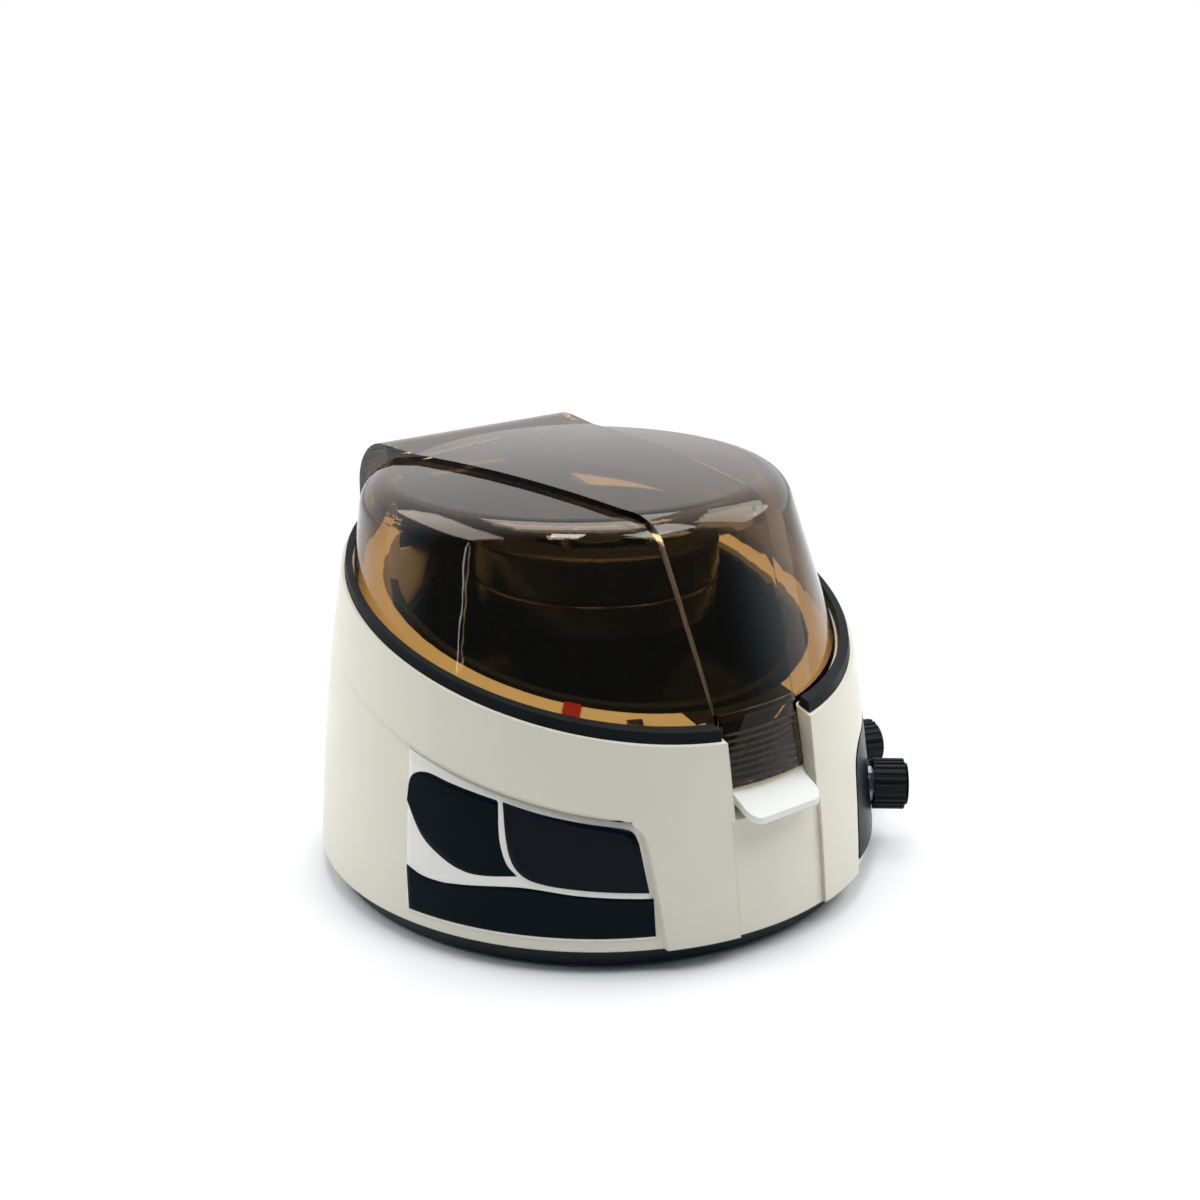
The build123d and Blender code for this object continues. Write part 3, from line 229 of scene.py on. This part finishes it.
class Tree:
    """Short way to add and join the nodes of a material or a world."""

    def __init__(self, owner, output):
        owner.use_nodes = True
        self.owner = owner
        self.tree = owner.node_tree
        self.tree.nodes.clear()
        self.output = self.tree.nodes.new(output)

    def add(self, kind, attributes=None, *values, **inputs):
        """New node. Values go to its first sockets, and inputs to the sockets that they name, with _ for a space.

        Each is a number, a colour or another node's output.
        """
        made = self.tree.nodes.new(kind)
        for key, value in (attributes or {}).items():
            setattr(made, key, value)
        sockets = [*made.inputs[: len(values)], *(made.inputs[key.replace("_", " ")] for key in inputs)]
        for socket, value in zip(sockets, (*values, *inputs.values())):
            if isinstance(value, bpy.types.NodeSocket):
                self.tree.links.new(value, socket)
            else:
                socket.default_value = value
        return made

    def place(self):
        """Place on the object itself."""
        return self.add("ShaderNodeTexCoord").outputs["Object"]

    def maths(self, operation, one, other):
        """Result of one operation on two numbers."""
        return self.add("ShaderNodeMath", {"operation": operation}, one, other).outputs[0]

    def mix(self, share, one, other):
        """Two shaders, the other one by its share."""
        return self.add("ShaderNodeMixShader", None, share, one, other).outputs[0]

    def finish(self, shader):
        """Joins the shader to the output and returns the material or world."""
        self.tree.links.new(shader, self.output.inputs["Surface"])
        return self.owner


def material_tree(name):
    """Tree of a new material."""
    return Tree(bpy.data.materials.new(name), "ShaderNodeOutputMaterial")


def plain(colour):
    """Colour of three numbers as an opaque one of four."""
    return (*colour, 1.0)


def noise(tree, place, size, detail=2.0):
    """Noise whose features are about size metres wide."""
    return tree.add("ShaderNodeTexNoise", Vector=place, Scale=1.0 / size, Detail=detail).outputs["Fac"]


def mapped(tree, value, low, high, start=0.3, end=0.7, **attributes):
    """Value spread from start to end onto low to high."""
    made = tree.add(
        "ShaderNodeMapRange", attributes, Value=value, From_Min=start, From_Max=end, To_Min=low, To_Max=high
    )
    return made.outputs["Result"]


def two_tone(tree, value, colour, factor):
    """Colour that drifts between itself and itself times factor, by value."""
    ramp = tree.add("ShaderNodeValToRGB", Fac=value)
    low, high = ramp.color_ramp.elements
    low.position, low.color = 0.3, plain([c * factor for c in colour])
    high.position, high.color = 0.7, plain(colour)
    return ramp.outputs["Color"]


def rounded(tree, radius):
    """Normal that rounds the edges by a radius in millimetres."""
    return tree.add("ShaderNodeBevel", {"samples": 4}, Radius=radius * MM).outputs["Normal"]


def bumped(tree, height, depth, strength=1.0, attributes=None, **under):
    """Normal of a relief that is depth millimetres deep, over another normal if one is given."""
    made = tree.add("ShaderNodeBump", attributes, Strength=strength, Distance=depth * MM, Height=height, **under)
    return made.outputs["Normal"]


def principled(tree, **inputs):
    """Material with one Principled shader."""
    return tree.finish(tree.add("ShaderNodeBsdfPrincipled", **inputs).outputs["BSDF"])


# Finishes


def moulded(name, colour, roughness, grain, depth, edge, tone, specular=0.5):
    """Moulded plastic: colour and gloss drift slowly, and its fine grain is grain mm wide and depth mm deep."""
    tree = material_tree(name)
    place = tree.place()
    return principled(
        tree,
        Base_Color=two_tone(tree, noise(tree, place, 0.03), colour, tone),
        Roughness=mapped(tree, noise(tree, place, 0.012, 4.0), roughness * 0.85, roughness * 1.15),
        Specular_IOR_Level=specular,
        Normal=bumped(tree, noise(tree, place, grain * MM, 3.0), depth, Normal=rounded(tree, edge)),
    )


def grained_black(name, colour):
    """Leather-grained plastic: raised cells about 1.3 mm wide with a fine grain on them."""
    tree = material_tree(name)
    place = tree.place()
    cells = tree.add(
        "ShaderNodeTexVoronoi", {"feature": "SMOOTH_F1"}, Vector=place, Scale=1.0 / (1.3 * MM), Randomness=1.0
    )
    fine = noise(tree, place, 0.35 * MM)
    wide = bumped(tree, cells.outputs["Distance"], 0.22, attributes={"invert": True})
    return principled(
        tree,
        Base_Color=two_tone(tree, noise(tree, place, 0.02), colour, 0.8),
        Roughness=mapped(tree, fine, 0.3, 0.42),
        Specular_IOR_Level=0.3,
        Normal=bumped(tree, fine, 0.05, strength=0.5, Normal=wide),
    )


def turned_black(name, colour):
    """Satin plastic with fine rings round the rotor's axis, left by its mould."""
    tree = material_tree(name)
    place = tree.place()
    rings = tree.add(
        "ShaderNodeTexWave", {"bands_direction": "Z"}, Vector=place, Scale=1.0 / (6.0 * MM), Distortion=1.5, Detail=3.0
    )
    return principled(
        tree,
        Base_Color=two_tone(tree, noise(tree, place, 0.02), colour, 0.8),
        Roughness=mapped(tree, noise(tree, place, 0.006, 3.0), 0.2, 0.28),
        Normal=bumped(tree, rings.outputs["Fac"], 0.012, Normal=rounded(tree, 0.5)),
    )


def smoky_glass(name, tint, ior):
    """Clear brown plastic: glass to the eye, and a pale veil to the light that falls through it.

    The tint is the share of light that passes a whole wall. A slanting look crosses more of the wall, so there the
    tint falls to its square.
    """
    tree = material_tree(name)
    slant = tree.add("ShaderNodeLayerWeight", Blend=0.5).outputs["Facing"]
    deeper = tree.add("ShaderNodeMixRGB", None, slant, plain(tint), plain([share**2 for share in tint]))
    glass = tree.add(
        "ShaderNodeBsdfPrincipled",
        Base_Color=deeper.outputs["Color"],
        Roughness=0.02,
        IOR=ior,
        Transmission_Weight=1.0,
        Normal=bumped(tree, noise(tree, tree.place(), 0.02, 1.0), 0.01),
    )
    veil = tree.add("ShaderNodeBsdfTransparent", Color=plain([share**0.2 for share in tint]))
    path = tree.add("ShaderNodeLightPath").outputs
    passing = tree.maths("MAXIMUM", path["Is Shadow Ray"], path["Is Diffuse Ray"])
    return tree.finish(tree.mix(passing, glass.outputs["BSDF"], veil.outputs["BSDF"]))


def metal(name, colour, roughness):
    """Plain machined metal with fine scratches and uneven gloss."""
    tree = material_tree(name)
    place = tree.place()
    stretched = tree.add("ShaderNodeMapping", Vector=place, Scale=(1.0, 1.0, 12.0))
    lines = noise(tree, stretched.outputs["Vector"], 0.4 * MM, 3.0)
    return principled(
        tree,
        Base_Color=two_tone(tree, lines, colour, 0.88),
        Metallic=1.0,
        Roughness=mapped(tree, noise(tree, place, 0.004, 3.0), roughness * 0.8, roughness * 1.2),
        Normal=bumped(tree, lines, 0.003),
    )


def laminated(name):
    """Stacked steel sheets: thin dark lines across the axis on grey metal."""
    tree = material_tree(name)
    place = tree.place()
    sheets = tree.add("ShaderNodeTexWave", {"bands_direction": "Z"}, Vector=place, Scale=1.0 / (6.3 * MM))
    return principled(
        tree,
        Base_Color=two_tone(tree, sheets.outputs["Fac"], (0.3, 0.28, 0.27), 0.4),
        Metallic=1.0,
        Roughness=mapped(tree, noise(tree, place, 0.003), 0.35, 0.5),
    )


def circuit_board(name):
    """Green board: paler copper runs under the lacquer, as stepped cells."""
    tree = material_tree(name)
    place = tree.place()
    runs = tree.add(
        "ShaderNodeTexVoronoi", {"distance": "MANHATTAN"}, Vector=place, Scale=1.0 / (5.0 * MM), Randomness=0.7
    )
    ramp = tree.add("ShaderNodeValToRGB", Fac=runs.outputs["Distance"])
    ramp.color_ramp.interpolation = "CONSTANT"
    low, high = ramp.color_ramp.elements
    low.color = plain((0.02, 0.12, 0.05))
    high.position, high.color = 0.55, plain((0.01, 0.07, 0.03))
    return principled(
        tree, Base_Color=ramp.outputs["Color"], Roughness=mapped(tree, noise(tree, place, 0.004), 0.25, 0.4)
    )


def material_of(slot):
    """Finish of a material slot, made once.

    The numbers of a moulded one are roughness, grain width and depth and edge radius in mm, the darker tone's
    share and the specular level. Those of a metal are its colour and roughness.
    """
    name = "finish_" + slot
    if name in bpy.data.materials:
        return bpy.data.materials[name]
    colours = settings().finish
    makers = {
        "cream": lambda: moulded(name, colours.cream, 0.36, 0.5, 0.006, 0.7, 0.97),
        "white": lambda: moulded(name, colours.lever_white, 0.42, 0.5, 0.002, 0.5, 0.985),
        "black": lambda: moulded(name, colours.base_black, 0.4, 0.35, 0.012, 0.5, 0.8, 0.18),
        "gasket": lambda: moulded(name, colours.gasket_black, 0.5, 0.3, 0.015, 0.3, 0.75, 0.12),
        "grained": lambda: grained_black(name, colours.chamber_black),
        "smoky": lambda: smoky_glass(name, colours.lid_tint, settings().lid.ior),
        "rotor_black": lambda: turned_black(name, colours.rotor_black),
        "red": lambda: moulded(name, colours.tab_red, 0.3, 0.4, 0.004, 0.3, 0.85),
        "film": lambda: moulded(name, colours.film_dark, 0.32, 0.25, 0.003, 0.1, 0.85, 0.05),
        "window": lambda: moulded(name, colours.window_dark, 0.12, 2.0, 0.002, 0.1, 0.9, 0.06),
        "knob": lambda: moulded(name, colours.knob_black, 0.38, 0.3, 0.01, 0.25, 0.8, 0.15),
        "steel": lambda: metal(name, (0.6, 0.6, 0.61), 0.28),
        "foot_rubber": lambda: moulded(name, (0.015, 0.015, 0.015), 0.7, 0.3, 0.02, 0.3, 0.7),
        "dark_plastic": lambda: moulded(name, (0.014, 0.014, 0.015), 0.42, 0.35, 0.012, 0.3, 0.8),
        "pot_shafts": lambda: metal(name, (0.72, 0.72, 0.73), 0.32),
        "board": lambda: circuit_board(name),
        "brass": lambda: metal(name, (0.75, 0.56, 0.27), 0.25),
        "laminations": lambda: laminated(name),
        "pale_film": lambda: moulded(name, colours.film_pale, 0.3, 0.4, 0.003, 0.1, 0.97),
        "marks": lambda: moulded(name, colours.mark_white, 0.4, 0.3, 0.003, 0.1, 0.95),
        "ridge": lambda: moulded(name, colours.ridge_bronze, 0.25, 0.3, 0.003, 0.1, 0.9, 0.25),
    }
    return makers[slot]()


# Surfaces


def grid_faces(rows, columns, wrapped=False):
    """Quads between neighbours of a rows x columns grid, whose last column may join the first."""
    row = np.arange(rows - 1)[:, None]
    column = np.arange(columns if wrapped else columns - 1)[None, :]
    beside = (column + 1) % columns
    corners = (
        row * columns + column,
        row * columns + beside,
        (row + 1) * columns + beside,
        (row + 1) * columns + column,
    )
    return np.stack(np.broadcast_arrays(*corners), axis=-1).reshape(-1, 4)


def repeated(faces, size, count):
    """The same faces on each of count grids of size points."""
    return (faces[None] + size * np.arange(count)[:, None, None]).reshape(-1, 4)


def mesh_piece(name, points, faces, slot, body):
    """Object from points in millimetres and faces, riding on a body.

    Its finish is the material made for the slot.
    """
    mesh = bpy.data.meshes.new(name)
    points = points.reshape(-1, 3) * MM
    mesh.vertices.add(len(points))
    mesh.vertices.foreach_set("co", points.ravel())
    mesh.loops.add(faces.size)
    mesh.loops.foreach_set("vertex_index", faces.ravel())
    mesh.polygons.add(len(faces))
    mesh.polygons.foreach_set("loop_start", np.arange(len(faces)) * faces.shape[1])
    mesh.polygons.foreach_set("use_smooth", np.full(len(faces), True))
    mesh.update()
    mesh.validate()
    piece = bpy.data.objects.new(name, mesh)
    bpy.context.scene.collection.objects.link(piece)
    mesh.materials.append(material_of(slot))
    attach(piece, body)
    return piece


def thicken(piece, millimetres):
    """Gives an open surface a wall behind it."""
    wall = piece.modifiers.new("wall", "SOLIDIFY")
    wall.thickness = millimetres * MM
    wall.offset = -1.0


def arc_centre(points):
    """Centre and radius of the circle through three points."""
    (ax, ay), (bx, by), (cx, cy) = points
    d = 2 * (ax * (by - cy) + bx * (cy - ay) + cx * (ay - by))
    a, b, c = ax**2 + ay**2, bx**2 + by**2, cx**2 + cy**2
    x = (a * (by - cy) + b * (cy - ay) + c * (ay - by)) / d
    y = (a * (cx - bx) + b * (ax - cx) + c * (bx - ax)) / d
    return x, y, np.hypot(ax - x, ay - y)


SIDE_X, SIDE_Z, SIDE_RADIUS = arc_centre(SIDE_POINTS)


def wall_radius(height):
    """Outer radius of the housing: the circle of its side, solved for the radius at a height."""
    return SIDE_X + np.sqrt(SIDE_RADIUS**2 - (height - SIDE_Z) ** 2)


def cheek_radius(angle, height):
    """Radius of a cheek's face along a ray from the axis.

    The ray's point is turned back by the lean, and its distance from the leaning side corrects the radius.
    """
    rise = height - LEAN_HEIGHT
    radius = SIDE_POINTS[0][0]
    for _ in range(CHEEK_ROUNDS):
        back = -radius * np.cos(angle) - CHEEK_SHIFT
        own_y = back * np.cos(LEAN) - rise * np.sin(LEAN)
        own_z = LEAN_HEIGHT + back * np.sin(LEAN) + rise * np.cos(LEAN)
        radius = radius + wall_radius(own_z) - CHEEK_INSET - np.hypot(radius * np.sin(angle), own_y)
    return radius


def on_cheek(angle, height, lift):
    """Points on a cheek at angles in degrees from the front, lifted off its face."""
    turn = np.radians(angle)
    radius = cheek_radius(turn, height) + lift
    return np.stack(np.broadcast_arrays(radius * np.sin(turn), -radius * np.cos(turn), height), axis=-1)


def curve(points, count):
    """Smooth line through points: a Catmull-Rom spline, count samples a span."""
    points = np.asarray(points)
    padded = np.vstack([2 * points[0] - points[1], points, 2 * points[-1] - points[-2]])
    t = np.linspace(0, 1, count, endpoint=False)[None, :, None]
    p0, p1, p2, p3 = (padded[i : i + len(points) - 1][:, None] for i in range(4))
    line = 0.5 * (
        2 * p1 + (p2 - p0) * t + (2 * p0 - 5 * p1 + 4 * p2 - p3) * t**2 + (3 * p1 - p0 - 3 * p2 + p3) * t**3
    )
    return np.vstack([line.reshape(-1, 2), points[-1:]])


def level_line(start, end, height):
    """Level line on a cheek between two angles."""
    return np.stack([np.linspace(start, end, EDGE_POINTS), np.full(EDGE_POINTS, height)], axis=-1)


def step_line(start, end, margin):
    """Line on a cheek between two angles, parallel to the rim, a margin under the cheek's upper edge."""
    angles = np.linspace(start, end, EDGE_POINTS)
    front = cheek_radius(np.radians(angles), CHEEK_MIDDLE) * np.cos(np.radians(angles))
    return np.stack([angles, RIM_HEIGHT - CHEEK_DROP - margin - front * RIM_SLOPE], axis=-1)


def resample(line, count):
    """The same line in count points at even steps of its length."""
    steps = np.r_[0, np.cumsum(np.hypot(*np.diff(line, axis=0).T))]
    wanted = np.linspace(0, steps[-1], count)
    return np.stack([np.interp(wanted, steps, line[:, i]) for i in range(2)], axis=-1)


def cheek_patch(name, one, other, top, wall, slot):
    """Printed area of a cheek: straight lines across from one edge curve to the other, both (angle, height)."""
    across = np.linspace(0, 1, PATCH_ROWS)[:, None, None]
    flat = resample(one, PATCH_COLUMNS)[None] * (1 - across) + resample(other, PATCH_COLUMNS)[None] * across
    points = on_cheek(flat[..., 0], flat[..., 1], top / MM)
    faces = grid_faces(PATCH_ROWS, PATCH_COLUMNS)
    middle = points.reshape(-1, 3)[faces[len(faces) // 2]]
    normal = np.cross(middle[1] - middle[0], middle[2] - middle[0])
    if np.dot(normal[:2], middle[0][:2]) < 0:
        faces = faces[:, ::-1]
    piece = mesh_piece(name, points, faces, slot, "base")
    thicken(piece, wall)
    return piece


# Pieces


class CENTRIFUGE_OT_finishes(bpy.types.Operator):
    """Give every carried-over piece its moulded, turned, rubber or metal finish"""

    bl_idname = "centrifuge.finishes"
    bl_label = "Finishes"

    def execute(self, context):
        for part in frame["record"]["subparts"]:
            NODES[part["node"]].material_slots[0].material = material_of(part["material_slot"])
        return {"FINISHED"}


class CENTRIFUGE_OT_display(bpy.types.Operator):
    """Lay the pale sticker with its dark printed areas and the glossy window on the left cheek"""

    bl_idname = "centrifuge.display"
    bl_label = "Display"

    def execute(self, context):
        sizes = settings().sticker
        ground = cheek_patch(
            "sticker_ground",
            step_line(*GROUND_ENDS, GROUND_MARGIN),
            level_line(*GROUND_FOOT),
            sizes.ground_lift,
            GROUND_WALL,
            "pale_film",
        )
        leaf_top = np.vstack([curve(LEAF_TOP, LEAF_STEPS), curve(LEAF_SIDE, LEAF_STEPS)[1:]])
        cheek_patch("sticker_leaf", leaf_top, curve(LEAF_FOOT, LEAF_STEPS), sizes.print_lift, PRINT_WALL, "film")
        strip_top = curve(STRIP_TOP, WINDOW_STEPS)
        cheek_patch("sticker_strip", strip_top, level_line(*STRIP_FOOT), sizes.print_lift, PRINT_WALL, "film")
        window_top = np.vstack([curve(WINDOW_TOP, WINDOW_STEPS), curve(WINDOW_SIDE, WINDOW_STEPS)[1:]])
        window_foot = curve(WINDOW_FOOT, WINDOW_STEPS)
        window = cheek_patch("display_glass", window_top, window_foot, sizes.window_lift, WINDOW_WALL, "window")
        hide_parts("display_overlay")
        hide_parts("display_window")
        return {"FINISHED"}


class CENTRIFUGE_OT_ridges(bpy.types.Operator):
    """Raise the fine level ridges across the lid's tongue

    A ridge is an ellipse carried along the tongue's cone at one height, and its size falls to nothing at both ends
    as the root of 1 - across^8.
    """

    bl_idname = "centrifuge.ridges"
    bl_label = "Ridges"

    def execute(self, context):
        sizes = settings().lid
        count = sizes.ridge_count
        across = np.sin(np.linspace(-np.pi / 2, np.pi / 2, RIDGE_COLUMNS))[None, :, None]
        turn = np.linspace(0, 2 * np.pi, RIDGE_SIDES, endpoint=False)[None, None, :]
        middle = (sizes.ridge_foot + sizes.ridge_pitch * np.arange(count))[:, None, None] / MM
        size = np.sqrt(1 - across**8)
        height = middle + size * sizes.ridge_half / MM * np.sin(turn)
        face = TONGUE_TOP_RADIUS + TONGUE_SLOPE * (TONGUE_TOP - middle)
        radius = face + size * sizes.ridge_rise / MM * np.cos(turn)
        side = across * TONGUE_HALF
        points = np.stack(np.broadcast_arrays(side, -np.sqrt(radius**2 - side**2), height), axis=-1)
        faces = repeated(grid_faces(RIDGE_COLUMNS, RIDGE_SIDES, wrapped=True), RIDGE_COLUMNS * RIDGE_SIDES, count)
        piece = mesh_piece("tongue_ridges", points, faces, "ridge", "lid")
        merged = bmesh.new()
        merged.from_mesh(piece.data)
        bmesh.ops.remove_doubles(merged, verts=merged.verts, dist=0.001 * MM)
        bmesh.ops.recalc_face_normals(merged, faces=merged.faces)
        merged.to_mesh(piece.data)
        merged.free()
        return {"FINISHED"}


class CENTRIFUGE_OT_dials(bpy.types.Operator):
    """Print a plain scale of ticks round each knob and a white line on each knob

    A tick is a short strip along a ray from the knob's axis, laid on the cheek: its sideways distance becomes an
    angle about the rotor's axis. A line is a strip from near the knob's axis upwards on its front face.
    """

    bl_idname = "centrifuge.dials"
    bl_label = "Dials"

    def execute(self, context):
        sizes = settings().dial
        strip = grid_faces(TICK_POINTS, 2)[:, ::-1]
        edges = np.array([-1.0, 1.0])
        along = np.linspace(sizes.tick_inner, sizes.tick_outer, TICK_POINTS)[:, None] / MM
        wide = edges * sizes.tick_half / MM
        turn = np.radians(np.linspace(-sizes.tick_turn, sizes.tick_turn, sizes.tick_count))[:, None, None]
        knobs = np.array([angle for _, angle in KNOBS])[:, None, None, None]
        side = along * np.sin(turn) + wide * np.cos(turn)
        rise = along * np.cos(turn) - wide * np.sin(turn)
        points = on_cheek(knobs + np.degrees(side / PAD_RADIUS), KNOB_HEIGHT + rise, sizes.tick_lift / MM)
        faces = repeated(strip, 2 * TICK_POINTS, len(KNOBS) * sizes.tick_count)
        thicken(mesh_piece("dial_ticks", points, faces, "marks", "base"), PRINT_WALL)

        reach = np.linspace(sizes.mark_inner, sizes.mark_outer, TICK_POINTS)[:, None, None] / MM
        width = edges[None, :, None] * sizes.mark_half / MM
        upwards = np.array([0.0, 0.0, 1.0])
        for body, angle in KNOBS:
            axis = np.array([np.sin(np.radians(angle)), -np.cos(np.radians(angle)), 0.0])
            centre = axis * KNOB_END + upwards * KNOB_HEIGHT
            points = centre + reach * upwards + width * np.cross(upwards, axis)
            thicken(mesh_piece(body + "_mark", points, strip, "marks", body), PRINT_WALL)
        return {"FINISHED"}


# Stage


def around(azimuth, elevation, distance):
    """Place at an angle from the front and a height angle, in degrees, as seen from the object."""
    turn, tip = np.radians(azimuth), np.radians(elevation)
    flat = distance * np.cos(tip)
    return Vector((flat * np.sin(turn), -flat * np.cos(turn), distance * np.sin(tip)))


def floor_finish(values):
    """White paper that keeps the object's shadow: more of plain white shows to the camera further away.

    Through the lid the floor shows dim.
    """
    tree = material_tree("floor_paper")
    place = tree.place()
    paper = tree.add(
        "ShaderNodeBsdfPrincipled",
        Base_Color=two_tone(tree, noise(tree, place, 0.3), (0.9, 0.9, 0.9), 0.99),
        Roughness=0.9,
    )
    away = tree.add("ShaderNodeVectorMath", {"operation": "LENGTH"}, place).outputs["Value"]
    wide = mapped(tree, away, values.floor_glow, 1.0, FLOOR_FADE_START, values.floor_reach)
    close = mapped(tree, away, 0.0, 1.0, values.floor_near, values.floor_near + values.floor_rise)
    path = tree.add("ShaderNodeLightPath").outputs
    share = tree.maths("MULTIPLY", path["Is Camera Ray"], tree.maths("MULTIPLY", wide, close))
    glow = tree.add("ShaderNodeEmission", Color=WHITE, Strength=1.0)
    dim = tree.add("ShaderNodeEmission", Color=WHITE, Strength=values.through_level)
    seen = tree.mix(share, paper.outputs["BSDF"], glow.outputs["Emission"])
    return tree.finish(tree.mix(path["Is Transmission Ray"], seen, dim.outputs["Emission"]))


def lay_floor(values):
    """Flat floor under the object."""
    mesh = bpy.data.meshes.new("floor")
    corners = [(x * FLOOR_REACH, y * FLOOR_REACH, 0) for x, y in ((-1, -1), (1, -1), (1, 1), (-1, 1))]
    mesh.from_pydata(corners, [], [(0, 1, 2, 3)])
    floor = bpy.data.objects.new("floor", mesh)
    bpy.context.scene.collection.objects.link(floor)
    mesh.materials.append(floor_finish(values))


def light_room(values):
    """World that is bright behind the object and a dim, tinted room at the camera's side.

    The camera sees it white, and through the lid it is dim.
    """
    tree = Tree(bpy.data.worlds.new("studio"), "ShaderNodeOutputWorld")
    turn = np.radians(values.azimuth)
    direction = tree.add("ShaderNodeTexCoord").outputs["Generated"]
    backwards = (-np.sin(turn), np.cos(turn), 0.25)
    behind = tree.add("ShaderNodeVectorMath", {"operation": "DOT_PRODUCT"}, direction, backwards).outputs["Value"]
    spread = mapped(
        tree, behind, values.room_level, values.backdrop_level, -0.3, 0.5, interpolation_type="SMOOTHSTEP"
    )
    path = tree.add("ShaderNodeLightPath").outputs
    through = tree.add("ShaderNodeMix", Factor=path["Is Transmission Ray"], A=spread, B=values.through_level)
    level = tree.maths("MAXIMUM", through.outputs["Result"], path["Is Camera Ray"])
    plainness = tree.maths("MAXIMUM", level, path["Is Transmission Ray"])
    colour = tree.add("ShaderNodeMixRGB", None, plainness, plain(values.room_tint), WHITE)
    background = tree.add("ShaderNodeBackground", Color=colour.outputs["Color"], Strength=level)
    bpy.context.scene.world = tree.finish(background.outputs["Background"])


def place_lamps(values):
    """Soft rectangular lamps round the object, facing it.

    A row gives the angle from the camera's, the height angle, both sides in metres and the power.
    """
    side_power = values.side_power
    for name, turn, tip, size, other, power in (
        ("left_softbox", -90, 50, 0.9, 0.35, side_power),
        ("front_softbox", -10, 72, 0.16, 0.16, values.front_power),
        ("right_softbox", 62, 58, 0.3, 0.3, side_power * 0.55),
        ("far_softbox", 112, 42, 0.5, 0.5, side_power * 0.6),
        ("narrow_strip", -55, 18, 0.012, 0.3, values.strip_power),
        ("top_softbox", 180, 75, 0.5, 0.5, values.top_power),
    ):
        data = bpy.data.lights.new(name, "AREA")
        data.shape = "RECTANGLE"
        data.size = size
        data.size_y = other
        data.energy = power
        lamp = bpy.data.objects.new(name, data)
        bpy.context.scene.collection.objects.link(lamp)
        lamp.location = around(values.azimuth + turn, tip, LAMP_DISTANCE)
        lamp.rotation_euler = (Vector(LAMP_AIM) - lamp.location).to_track_quat("-Z", "Y").to_euler()


def place_camera(values):
    """Camera at the stage's angle and distance from its aim."""
    data = bpy.data.cameras.new("camera")
    data.lens = values.lens
    data.sensor_width = SENSOR_WIDTH
    camera = bpy.data.objects.new("camera", data)
    bpy.context.scene.collection.objects.link(camera)
    turn = np.radians(values.azimuth)
    back = around(values.azimuth, values.elevation, 1.0)
    right = Vector((np.cos(turn), np.sin(turn), 0.0))
    matrix = Matrix((right, back.cross(right), back)).transposed().to_4x4()
    target = right * values.target_side + Vector((0, 0, values.target_height))
    matrix.translation = target + back * values.distance
    camera.matrix_world = matrix
    bpy.context.scene.camera = camera


class CENTRIFUGE_OT_stage(bpy.types.Operator):
    """Set up the floor, the lamps, the world and the camera"""

    bl_idname = "centrifuge.stage"
    bl_label = "Stage"

    def execute(self, context):
        values = settings().stage
        context.scene.view_settings.view_transform = "Standard"
        lay_floor(values)
        light_room(values)
        place_lamps(values)
        place_camera(values)
        return {"FINISHED"}


class CENTRIFUGE_PT_panel(bpy.types.Panel):
    """Buttons of the centrifuge's pieces"""

    bl_label = "Centrifuge"
    bl_idname = "CENTRIFUGE_PT_panel"
    bl_space_type = "VIEW_3D"
    bl_region_type = "UI"
    bl_category = "Centrifuge"

    def draw(self, context):
        for operator in OPERATORS:
            self.layout.operator(operator.bl_idname)


OPERATORS = (
    CENTRIFUGE_OT_finishes,
    CENTRIFUGE_OT_display,
    CENTRIFUGE_OT_ridges,
    CENTRIFUGE_OT_dials,
    CENTRIFUGE_OT_stage,
)
CLASSES = (
    FinishSettings,
    LidSettings,
    StickerSettings,
    DialSettings,
    StageSettings,
    CentrifugeSettings,
    *OPERATORS,
    CENTRIFUGE_PT_panel,
)


def register():
    for item in CLASSES:
        bpy.utils.register_class(item)
    bpy.types.Scene.centrifuge = PointerProperty(type=CentrifugeSettings)


def unregister():
    del bpy.types.Scene.centrifuge
    for item in reversed(CLASSES):
        bpy.utils.unregister_class(item)


def main():
    register()
    bpy.ops.centrifuge.finishes()
    bpy.ops.centrifuge.display()
    bpy.ops.centrifuge.ridges()
    bpy.ops.centrifuge.dials()
    bpy.ops.centrifuge.stage()


if __name__ == "__main__":
    main()
